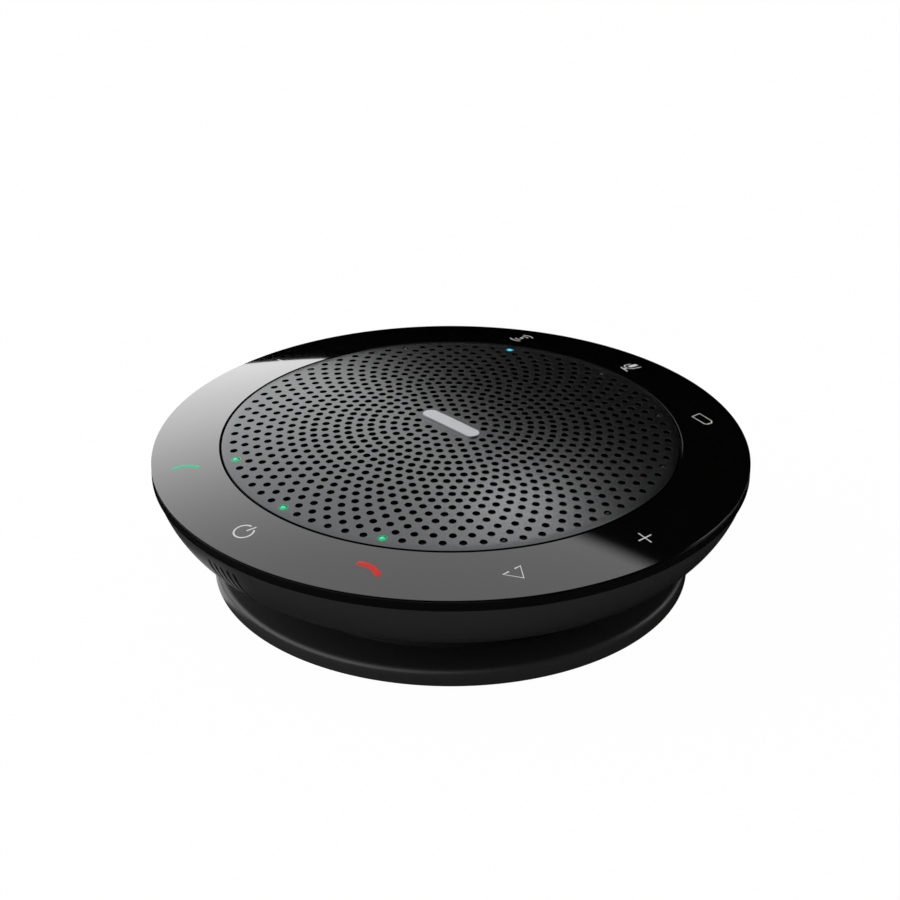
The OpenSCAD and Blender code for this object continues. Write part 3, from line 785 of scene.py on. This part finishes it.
dark_stations = [n for n in range(stations) if n not in green_stations + cyan_stations]
stud_top = dome_height(pipe_ring)
dimpled = [(r * mm, stud_top - drop * mm) for r, drop in (
    (0, 0.16), (0.1, 0.16), (0.15, 0.04), (0.24, 0.04), (0.29, 0.1), (0.29, 0.4), (0.6, 0.45))]
dark_studs = light_studs("dark_light_pipes", dark_stations, dimpled)
set_finish(dark_studs, porous_finish("dark_acrylic", rgb(34), 0.4, 3000, 0.001 * mm))
green_proud, cyan_proud = 0.22 * mm, 0.08 * mm
green_top, cyan_top = stud_top + green_proud, stud_top + cyan_proud
green_studs = light_studs("green_light_pipes", green_stations, domed(green_proud, 0.87 * mm, 60))
set_finish(green_studs, lit_finish("green_light", rgb(20, 225, 150), 0.7, green_top, 0.34 * mm))
cyan_studs = light_studs("cyan_light_pipe", cyan_stations, domed(cyan_proud, 0.99 * mm, 48))
set_finish(cyan_studs, lit_finish("cyan_light", cyan_light, 0.85, cyan_top, 0.3 * mm))
for studs in (dark_studs, green_studs, cyan_studs):
    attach(studs, "unit")
    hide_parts("light_pipes")


# ---- Touch ring ----
# A ring of black polycarbonate with a hard clear lacquer over it, moulded to the dome's
# curve. It is glued to the housing's inner wall, and its lip covers the wall and the band.
ring_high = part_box("touch_ring")[1]
ring_out_r = ring_high.x
ring_in_r = 46.4 * mm
ring_t = 1.6 * mm
ring_body_r = 55.4 * mm
ring_bevel = 0.02 * mm
ring_edge_r = 0.06 * mm
crisp_below = 8
band_top = 26.1 * mm


def dome_points(r_from, r_to, depth, steps):
    """Points of a section along the dome, that far below its outer face."""
    return [(r, dome_height(r) - depth) for r in evenly(r_from, r_to, steps)]


def lacquer_finish(name, colour, roughness):
    """Gloss plastic under a clear coat, with a trace of haze that drifts over it."""
    finish, tree, shader = new_finish(name)
    place = object_place(tree)
    haze = noise(tree, place, 35, 4)
    tone = mix_colour(tree, haze, shade(colour, 0.6), colour)
    duller = math_node(tree, "MULTIPLY_ADD", haze, 0.02, roughness)
    feed(tree, shader, {"Base Color": tone, "Roughness": duller})
    feed(tree, shader, {"Coat Weight": 1, "Coat Roughness": 0.02})
    add_bump(tree, shader, noise(tree, place, 260, 1), 0.0004 * mm)
    return finish


ring_outline = [
    (ring_in_r, dome_height(ring_in_r) - ring_bevel),
    *dome_points(ring_in_r + ring_bevel, ring_out_r - ring_edge_r, 0, 24),
    *arc(ring_out_r - ring_edge_r, dome_height(ring_out_r) - ring_edge_r, ring_edge_r, 60, 0, 3),
    (ring_out_r, band_top),
    (ring_body_r, band_top),
    *dome_points(ring_body_r, ring_in_r, ring_t, 8),
]
touch_ring = turned("touch_ring_moulding", ring_outline, smooth_below=crisp_below)
set_finish(touch_ring, lacquer_finish("black_lacquer", rgb(8), 0.04))
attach(touch_ring, "unit")
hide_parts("touch_ring")


# ---- Signs on the ring ----
# Thin prints of pale ink on the ring, each over its own light source. The answer sign
# is green and the end-call sign red; the others are a plain light grey.
sign_ring = 53.2 * mm
sign_line = 0.17 * mm
sign_t = 0.02 * mm


def stroke(points, width=1, closed=False):
    """A flat line through points in millimetres; its width is one scale, or one per point."""
    widths = width if isinstance(width, list) else [width] * len(points)
    line = bpy.data.curves.new("stroke", "CURVE")
    line.dimensions = "3D"
    line.bevel_depth = sign_line
    line.bevel_resolution = 2
    line.use_fill_caps = True
    run = line.splines.new("POLY")
    run.points.add(len(points) - 1)
    run.use_cyclic_u = closed
    for point, (x, y), scale in zip(run.points, points, widths):
        point.co = (x * mm, y * mm, 0, 1)
        point.radius = scale
    activate(add_object("stroke", line))
    bpy.ops.object.convert(target="MESH")
    return bpy.context.object


def bow(middle, radius, start, end, steps=16):
    """Points along an arc in the sign's own plane, in millimetres and degrees."""
    return arc(*middle, radius, start, end, steps)


def sign(name, number, strokes, finish):
    """Joins strokes into one print and lays it on the ring at its station."""
    piece = join(strokes[0], strokes[1:])
    name_piece(name)
    place = station_place(number, sign_ring)
    for vertex in piece.data.vertices:
        vertex.co.z *= sign_t / sign_line
        vertex.co += place
    lay_on_dome(piece)
    edit()
    close_up()
    done()
    set_finish(piece, finish)
    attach(piece, "unit")


def print_finish(name, colour, glow):
    """Screen-printed ink with an uneven cover, faintly lit from behind."""
    finish, tree, shader = new_finish(name)
    cover = noise(tree, object_place(tree), 2500, 3)
    ink = mix_colour(tree, cover, shade(colour, 0.8), colour)
    feed(tree, shader, {"Base Color": ink, "Emission Color": ink, "Emission Strength": glow})
    feed(tree, shader, {"Roughness": 0.35, "Specular IOR Level": 0.1})
    return finish


def handset(middle, tilt, thickness):
    """A bowed handset with round, slightly thicker ends; tilt turns its chord from X."""
    radius, half = 4.5, 39
    away = radians(tilt - 90)
    centre = (middle[0] + (radius - 0.9) * cos(away), middle[1] + (radius - 0.9) * sin(away))
    steps = 20
    widths = []
    for share in evenly(-1, 1, steps):
        end = abs(share)
        bulge = 1 if end < 0.5 else 1 + 0.3 * (end - 0.5)
        tip = sqrt(max(1 - max(end - 0.86, 0) ** 2 / 0.14 ** 2, 0.08))
        widths.append(thickness * bulge * tip)
    return [stroke(bow(centre, radius, tilt + 90 - half, tilt + 90 + half, steps), widths)]


ink_glow = 0.3
pale_ink = print_finish("pale_ink", rgb(205), ink_glow)
green_ink = print_finish("green_ink", rgb(60, 185, 140), ink_glow)
red_ink = print_finish("red_ink", rgb(196, 48, 44), ink_glow)
arm = 1.7
fine = 0.7
plus_lines = [stroke([(-arm, 0), (arm, 0)], fine), stroke([(0, -arm), (0, arm)], fine)]
sign("plus_sign", 0, plus_lines, pale_ink)
battery_outline = [
    (-1.1, -2.2), (-1.5, 0.5), (2.1, 0.2), *bow((2.0, -0.9), 0.85, 60, -30, 6),
    (2.9, -1.7), (2.75, -2.2), (2.35, -2.45), (1.9, -2.35),
]
sign("battery_sign", 2, [stroke(battery_outline, fine, closed=True)], pale_ink)
microphone_lines = [
    stroke([(-0.1, -0.9), (-0.35, 1.6)], 2.8),
    stroke([(-1.25, 0.75), *bow((-0.1, -0.7), 1.2, 185, 350), (1.1, 1.5)], fine),
    stroke([(0.15, -1.9), (0.4, -3.1)]),
    stroke([(-0.8, -2.75), (1.7, -3.45)]),
]
sign("microphone_sign", 3, microphone_lines, pale_ink)
wave_lines = [stroke([(0, -0.25), (0, 0.25)], 2.4)]
for side in (90, 270):
    for reach in (1.35, 2.45):
        wave_lines.append(stroke(bow((0, 0), reach, side - 38, side + 38), 0.75))
sign("wireless_sign", 4, wave_lines, pale_ink)
sign("minus_sign", 6, [stroke([(-arm, 0.2), (arm, 0.2)])], pale_ink)
sign("answer_sign", 8, handset((-1.1, 0.5), 39, 2.6), green_ink)
power_lines = [
    stroke(bow((0.1, -0.1), 1.95, 92, 408, 32)),
    stroke([(0.35, 0.35), (1.0, 2.2)]),
]
sign("power_sign", 9, power_lines, pale_ink)
sign("end_call_sign", 10, handset((0.2, 0.3), 2, 3.6), red_ink)
triangle_line = [(-1.0, 0.45), (-0.9, 1.85), (2.0, -0.1), (-1.2, -2.3), (-1.05, -0.95)]
sign("volume_sign", 11, [stroke(triangle_line)], pale_ink)


# ---- Upper housing ----
# Glass-filled black ABS: the outer band under the ring, the inner wall that holds the
# ring, and the baffle with bosses for the driver's and the housing's screws below it.
upper_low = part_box("upper_housing")[0]
band_low = 24.25 * mm
band_bevel = 0.05 * mm
baffle_top = 23.85 * mm
baffle_low = 22.35 * mm
baffle_hole_r = 25.2 * mm
wall_in_r, wall_out_r = 55.6 * mm, 57.1 * mm
housing_screws_at = 34.5 * mm
driver_screws_at = 27.3 * mm


def boolean(piece, tool, operation="DIFFERENCE"):
    """Cuts the tool out of the piece, or adds it, and removes the tool."""
    cut = piece.modifiers.new("boolean", "BOOLEAN")
    cut.operation = operation
    cut.object = tool
    deselect()
    bpy.context.view_layer.objects.active = piece
    bpy.ops.object.modifier_apply(modifier=cut.name)
    bpy.data.objects.remove(tool)
    bpy.ops.object.shade_smooth_by_angle(angle=radians(30))


def posts(radius, low, high, at, count, turn=0, sides=32):
    """Upright round posts at even angles, joined into one object."""
    deselect()
    middle = (low + high) / 2
    bpy.ops.mesh.primitive_cylinder_add(vertices=sides, radius=radius, depth=high - low)
    post = bpy.context.object
    turns = [radians(turn) + tau * i / count for i in range(count)]
    made = copies(post, [around(at, a, middle) for a in turns])
    return join(made[0], made[1:])


upper = turned("upper_housing_moulding", [
    (baffle_hole_r, baffle_low), (baffle_hole_r, baffle_top), (wall_in_r, baffle_top),
    (wall_in_r, band_top), (ring_out_r - band_bevel, band_top),
    (ring_out_r, band_top - band_bevel), (ring_out_r, band_low), (wall_out_r, band_low),
    (wall_out_r, baffle_low),
])
bosses_top = baffle_low + 0.1 * mm
boolean(upper, posts(2.6 * mm, upper_low.z, bosses_top, housing_screws_at, 6), "UNION")
boolean(upper, posts(2 * mm, baffle_low - 2.5 * mm, bosses_top, driver_screws_at, 4, 45), "UNION")
boolean(upper, posts(1.06 * mm, upper_low.z - mm, upper_low.z + 6 * mm, housing_screws_at, 6))
boolean(upper, posts(0.81 * mm, baffle_low - 3 * mm, baffle_top + mm, driver_screws_at, 4, 45))
set_finish(upper, porous_finish("black_abs", rgb(12), 0.18, 9000, 0.001 * mm))
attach(upper, "unit")
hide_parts("upper_housing")


# ---- Bowl ----
# The lower housing, moulded in the same black ABS with a finer, duller skin. Its five
# slots let sound in to the microphone, and its floor carries the main board.
bowl_low, bowl_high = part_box("lower_housing")
bowl_rim_r = 59.7 * mm
bowl_foot_r = 51.8 * mm
bowl_arc_r = 20.1 * mm
bowl_wall = 1.8 * mm
floor_t = 1.5 * mm
floor_hole_r = 31 * mm
rim_step_r = 57.7 * mm
step_z = 22.25 * mm
slot_count, slot_turn = 5, 1.8
slot_half_w = 0.425 * mm
slot_low, slot_high = 13.5 * mm, 21.8 * mm
board_screws_at = 44 * mm


def side_arc(radius, low, high, steps):
    """Points of the bowl's side between two heights, from the top down."""
    heights = evenly(high, low, steps)
    return [(bowl_centre.x + sqrt(radius ** 2 - (z - bowl_centre.y) ** 2), z) for z in heights]


rim = Vector((bowl_rim_r, bowl_high.z))
foot = Vector((bowl_foot_r, bowl_low.z))
chord = rim - foot
reach = sqrt(bowl_arc_r ** 2 - (chord.length / 2) ** 2)
bowl_centre = (rim + foot) / 2 + Vector((-chord.y, chord.x)).normalized() * reach
floor_top = bowl_low.z + floor_t
bowl = turned("bowl_shell", [
    *side_arc(bowl_arc_r, bowl_low.z, bowl_high.z, 32),
    (floor_hole_r, bowl_low.z), (floor_hole_r, floor_top),
    *reversed(side_arc(bowl_arc_r - bowl_wall, floor_top, step_z, 16)),
    (rim_step_r, step_z), (rim_step_r, bowl_high.z),
])
board_posts = posts(2.2 * mm, floor_top - 0.1 * mm, floor_top + 2 * mm, board_screws_at, 4, 45)
boolean(bowl, board_posts, "UNION")
boolean(bowl, posts(0.81 * mm, floor_top - mm, floor_top + 3 * mm, board_screws_at, 4, 45))
boolean(bowl, posts(1.06 * mm, bowl_low.z - mm, floor_top + mm, housing_screws_at, 6))
for i in range(slot_count):
    deselect()
    bpy.ops.mesh.primitive_cylinder_add(vertices=24, radius=slot_half_w, depth=14 * mm)
    slot_tool = bpy.context.object
    slot_tool.data.transform(Matrix.Rotation(radians(90), 4, "Y"))
    for vertex in slot_tool.data.vertices:
        vertex.co.z += slot_high if vertex.co.z > 0 else slot_low
        vertex.co.x += bowl_foot_r + 4 * mm
    angle = -90 + (i - (slot_count - 1) / 2) * slot_turn
    slot_tool.data.transform(Matrix.Rotation(radians(angle), 4, "Z"))
    boolean(bowl, slot_tool)
set_finish(bowl, porous_finish("black_abs_bowl", rgb(43), 0.46, 7000, 0.003 * mm))
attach(bowl, "unit")
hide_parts("lower_housing")


# ---- Cable drum ----
# The drum that the cable is wound round, moulded in black ABS. It is screwed up into
# the bowl, and has a round hole at the back for the bush that the cable leaves through.
core_low, core_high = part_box("winding_core")
core_r = core_high.x
core_wall = 1.6 * mm
flange_t = 1.4 * mm
base_screws_at = 36.2 * mm
bush_hole_r = 2.6 * mm
bush_z = (core_low.z + core_high.z) / 2
drum = turned("cable_drum", [
    (core_r - core_wall, core_low.z), (core_r, core_low.z), (core_r, core_high.z),
    (floor_hole_r, core_high.z), (floor_hole_r, core_high.z - flange_t),
    (core_r - core_wall, core_high.z - flange_t),
])
base_posts = posts(2.4 * mm, core_low.z, core_high.z - flange_t + 0.1 * mm, base_screws_at, 4, 45)
boolean(drum, base_posts, "UNION")
boolean(drum, posts(1.06 * mm, core_low.z - mm, core_low.z + 5.5 * mm, base_screws_at, 4, 45))
boolean(drum, posts(1.06 * mm, core_high.z - 3 * mm, core_high.z + mm, housing_screws_at, 6))
deselect()
bpy.ops.mesh.primitive_cylinder_add(vertices=48, radius=bush_hole_r, depth=4 * core_wall)
bush_hole = bpy.context.object
bush_hole.data.transform(Matrix.Rotation(radians(90), 4, "X"))
bush_hole.data.transform(Matrix.Translation((0, core_r, bush_z)))
boolean(drum, bush_hole)
set_finish(drum, porous_finish("black_abs_drum", rgb(3), 0.6, 6000, 0.003 * mm))
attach(drum, "unit")
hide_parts("winding_core")


# ---- Cable bush ----
# A soft black bush that snaps into the drum with a barb inside and a collar outside.
bush_low, bush_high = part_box("cord_gland")
bush_bore_r = 1.75 * mm
bush_neck_r = 2.5 * mm
bush_barb_r = 2.7 * mm
bush_collar_r = bush_high.x
barb_l = 1.2 * mm
collar_from = core_r + 0.05 * mm
bush_round = 0.35 * mm
bush = turned("cable_bush", [
    (bush_bore_r, bush_low.y), (bush_neck_r, bush_low.y), (bush_barb_r, bush_low.y + 0.3 * mm),
    (bush_barb_r, bush_low.y + barb_l), (bush_neck_r, bush_low.y + barb_l),
    (bush_neck_r, collar_from), (bush_collar_r, collar_from),
    *arc(bush_collar_r - bush_round, bush_high.y - bush_round, bush_round, 0, 90, 5),
    *arc(bush_bore_r + bush_round, bush_high.y - bush_round, bush_round, 90, 180, 5),
], 96)
bush.data.transform(Matrix.Translation((0, 0, bush_z)) @ Matrix.Rotation(radians(-90), 4, "X"))
set_finish(bush, porous_finish("soft_black_rubber", rgb(14), 0.7, 4000, 0.005 * mm))
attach(bush, "unit")
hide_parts("cord_gland")


# ---- Base disc ----
# The heavy black disc under the drum, with a rounded top edge. Four screws from below
# hold it to the drum, and the battery lies in the shallow pocket in its top.
base_low, base_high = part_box("base_disc")
rubber_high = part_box("rubber_foot")[1]
base_r = base_high.x
base_top = core_low.z
base_round = 1.1 * mm
base_lower_round = 0.3 * mm
pocket_r, pocket_z = 33 * mm, 2.3 * mm
spigot_in_r, spigot_out_r = 36.8 * mm, 38.3 * mm
groove_in_r, groove_out_r, groove_z = 30 * mm, 45.5 * mm, rubber_high.z
base = turned("base_disc_moulding", [
    (0, base_low.z), (groove_in_r, base_low.z), (groove_in_r, groove_z),
    (groove_out_r, groove_z), (groove_out_r, base_low.z),
    *arc(base_r - base_lower_round, base_low.z + base_lower_round, base_lower_round, -90, 0, 4),
    *arc(base_r - base_round, base_top - base_round, base_round, 0, 90, 8),
    (spigot_out_r, base_top), (spigot_out_r, base_high.z), (spigot_in_r, base_high.z),
    (spigot_in_r, base_top), (pocket_r, base_top), (pocket_r, pocket_z), (0, pocket_z),
])
boolean(base, posts(2 * mm, -mm, groove_z + 1.3 * mm, base_screws_at, 4, 45))
boolean(base, posts(1.06 * mm, 0, base_top + mm, base_screws_at, 4, 45))
boolean(base, posts(2.5 * mm, base_top - 0.05 * mm, base_top + 2 * mm, base_screws_at, 4, 45))
set_finish(base, porous_finish("black_base", rgb(44), 0.38, 7000, 0.003 * mm))
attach(base, "unit")
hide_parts("base_disc")


# ---- Rubber foot ----
# A flat ring of dark rubber glued into a groove under the base disc, with shallow rings
# moulded in its face so that it grips the table.
foot_in_r, foot_out_r = 30.1 * mm, rubber_high.x
foot_edge = 0.25 * mm
tread_count, tread_w, tread_depth = 6, 0.6 * mm, 0.15 * mm
tread_step = (foot_out_r - foot_in_r) / (tread_count + 1)
tread = []
for i in range(tread_count, 0, -1):
    at = foot_in_r + i * tread_step
    tread += [(at + tread_w, 0), (at + tread_w / 2, tread_depth),
              (at - tread_w / 2, tread_depth), (at - tread_w, 0)]
rubber_foot = turned("rubber_foot_ring", [
    (foot_in_r, rubber_high.z), (foot_in_r, foot_edge), (foot_in_r + foot_edge, 0),
    *reversed(tread),
    (foot_out_r - foot_edge, 0), (foot_out_r, foot_edge), (foot_out_r, rubber_high.z),
])
set_finish(rubber_foot, porous_finish("dark_rubber", rgb(30), 0.75, 5000, 0.006 * mm))
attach(rubber_foot, "unit")
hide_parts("rubber_foot")


# ---- Screws ----
# Zinc-plated steel screws, turned and then plated, at the base, housing, driver and board.
def set_finishes(finish, *names):
    """The CAD nodes of those names have that finish."""
    for name in names:
        set_finish(nodes[name], finish)


zinc = brushed_finish("zinc_plate", rgb(172, 174, 180), 0.3, 0.002 * mm, (2500, 2500, 120))
set_finishes(zinc, "base_screws", "housing_screws", "driver_screws", "board_screws")


# ---- Under the ring and the grille ----
# The black frame that carries the grille, the light sources on their ring-shaped board,
# and the copper film glued under the touch ring.
def film_finish(name, colour, base):
    """A printed film: bands of conductor round the ring on a clear brown base."""
    finish, tree, shader = new_finish(name)
    axes = object_axes(tree)
    turn = math_node(tree, "ARCTAN2", axes[1], axes[0])
    inside = math_node(tree, "GREATER_THAN", sine(tree, turn, 36), -0.8)
    tone = mix_colour(tree, inside, base, colour)
    feed(tree, shader, {"Base Color": tone, "Metallic": inside, "Roughness": 0.35})
    return finish


def board_finish(name, mask, copper):
    """A circuit board: green solder mask over a maze of slightly lighter copper tracks."""
    finish, tree, shader = new_finish(name)
    place = object_place(tree)
    maze = tree.nodes.new("ShaderNodeTexBrick")
    feed(tree, maze, {"Vector": place, "Scale": 260, "Mortar Size": 0.03, "Mortar": copper})
    feed(tree, maze, {"Color1": mask, "Color2": shade(mask, 0.85)})
    speckle = math_node(tree, "MULTIPLY", noise(tree, place, 1500, 2), 0.4)
    tone = mix_colour(tree, speckle, maze.outputs["Color"], shade(mask, 0.7))
    feed(tree, shader, {"Base Color": tone, "Roughness": 0.4})
    add_bump(tree, shader, maze.outputs["Fac"], -0.02 * mm)
    return finish


solder_mask = board_finish("green_solder_mask", rgb(18, 78, 48), rgb(60, 120, 70))
led_housing = porous_finish("led_white", rgb(232, 230, 214), 0.4, 2500, 0.002 * mm)
set_finishes(porous_finish("black_frame", rgb(4), 0.9, 6000, 0.003 * mm), "grille_frame")
set_finishes(film_finish("touch_film", rgb(176, 122, 62), rgb(92, 62, 26)), "touch_foil")
set_finishes(solder_mask, "led_board", "main_board")
set_finishes(led_housing, "indicator_leds", "icon_leds")


# ---- Loudspeaker ----
# A 58 mm driver: pressed steel basket, ferrite magnet between steel plates, paper cone
# with a rubber surround, woven spider, and a copper voice coil on its paper former.
pressed_steel = porous_finish("black_pressed_steel", rgb(40), 0.35, 3500, 0.003 * mm, metallic=0.6)
bright_steel = brushed_finish("zinc_steel", rgb(150, 153, 158), 0.32, 0.003 * mm, (2000, 60, 2000))
paper = porous_finish("pressed_paper", rgb(38, 38, 41), 0.85, 1800, 0.02 * mm, drift=0.3)
gasket_foam = porous_finish("gasket_foam", rgb(34), 0.95, 2600, 0.05 * mm, drift=0.4)
ferrite = porous_finish("ferrite", rgb(58, 58, 61), 0.6, 2200, 0.012 * mm, drift=0.25)
phenolic = porous_finish("phenolic", rgb(122, 88, 44), 0.55, 900, 0.006 * mm, drift=0.4)
set_finishes(pressed_steel, "driver_basket")
set_finishes(gasket_foam, "driver_gasket")
set_finishes(ferrite, "magnet")
set_finishes(bright_steel, "top_plate", "yoke")
set_finishes(phenolic, "terminal_strip")
set_finishes(paper, "cone", "dust_cap")


def winding_finish(name, colour, wire):
    """Enamelled wire laid in even turns along Z, one turn to that many metres; the grooves between
    turns are painted darker as painted shade.
    """
    finish, tree, shader = new_finish(name)
    turns = sine(tree, object_axes(tree)[2], tau / wire)
    height = math_node(tree, "MULTIPLY_ADD", turns, 0.5, 0.5)
    # Painted shade: the colour darkens in the grooves between turns.
    tone = mix_colour(tree, height, shade(colour, 0.5), colour)
    feed(tree, shader, {"Base Color": tone, "Metallic": 0.9, "Roughness": 0.3})
    add_bump(tree, shader, height, 0.05 * mm)
    return finish


set_finishes(winding_finish("enamelled_copper", rgb(186, 108, 56), 0.15 * mm), "voice_coil")


# ---- Spider and surround ----
# The woven spider and the rubber surround are glued to the basket outside and to the cone's
# side inside, and give between the two. Each is cut sector by sector, then welded again.
sector_count = 16


def flexing_ring(name, node, finish):
    """The CAD ring, cut into sectors along radii and welded again."""
    half = tau / 2 / sector_count
    whole = nodes[node].data.copy()
    whole.transform(nodes[node].matrix_world)
    sectors = []
    for i in range(sector_count):
        middle = tau * i / sector_count
        sector = add_object(name, whole.copy())
        activate(sector)
        edit()
        for side in (1, -1):
            a = middle - side * half
            bpy.ops.mesh.select_all(action="SELECT")
            bpy.ops.mesh.bisect(
                plane_co=(0, 0, 0), plane_no=(-side * sin(a), side * cos(a), 0),
                clear_inner=True, threshold=1e-7)
        bpy.ops.object.mode_set(mode="OBJECT")
        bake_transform(sector)
        sectors.append(sector)
    ring = join(sectors[0], sectors[1:])
    name_piece(name)
    edit()
    close_up()
    done()
    set_finish(ring, finish)
    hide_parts(node)


spider_cloth = woven_finish("spider_cloth", rgb(168, 122, 62), 0.5 * mm, 0.08 * mm, 0.8)
butyl_rubber = porous_finish("butyl_rubber", rgb(17), 0.55, 3000, 0.003 * mm)
flexing_ring("spider_ring", "spider", spider_cloth)
flexing_ring("surround_ring", "surround", butyl_rubber)


# ---- Board parts ----
# Chips in black epoxy, tinned shield can, ceramic antenna, aluminium capacitors, ivory
# connectors, the flat ribbon to the upper board, and red leads to driver and battery.
epoxy = porous_finish("black_epoxy", rgb(24), 0.55, 5000, 0.004 * mm)
ivory = porous_finish("ivory_nylon", rgb(228, 222, 206), 0.45, 2500, 0.002 * mm)
red_wire = porous_finish("red_wire", rgb(176, 32, 32), 0.4, 2500, 0.002 * mm)
tinned = brushed_finish("tinned_steel", rgb(186, 188, 190), 0.25, 0.002 * mm, (1500, 60, 1500))
ceramic = porous_finish("ceramic", rgb(233, 230, 220), 0.35, 3000, 0.001 * mm)
aluminium = brushed_finish("aluminium_can", rgb(150, 152, 156), 0.3, 0.002 * mm, (60, 60, 2500))
ribbon_film = film_finish("ribbon_film", rgb(214, 208, 190), rgb(150, 140, 110))
set_finishes(epoxy, "board_chips")
set_finishes(tinned, "shield_can")
set_finishes(ceramic, "chip_antenna")
set_finishes(aluminium, "capacitors")
set_finishes(ivory, "board_connectors", "led_connector")
set_finishes(ribbon_film, "ribbon_cable")
set_finishes(red_wire, "speaker_leads", "battery_leads")


# ---- Battery and microphone ----
# A lithium pouch cell in foil, held down by a foam pad under the magnet, and an electret
# capsule in a rubber boot behind the slots.
cell_foil = porous_finish("cell_foil", rgb(150, 154, 158), 0.35, 700, 0.03 * mm, metallic=0.8)
pad_foam = porous_finish("pad_foam", rgb(36), 0.95, 2200, 0.06 * mm, drift=0.4)
capsule = brushed_finish("capsule_metal", rgb(176, 178, 182), 0.3, 0.002 * mm, (1500, 1500, 60))
boot_rubber = porous_finish("boot_rubber", rgb(17), 0.75, 4000, 0.006 * mm)
set_finishes(cell_foil, "battery_cell")
set_finishes(pad_foam, "battery_pad")
set_finishes(capsule, "microphone")
set_finishes(boot_rubber, "mic_boot")
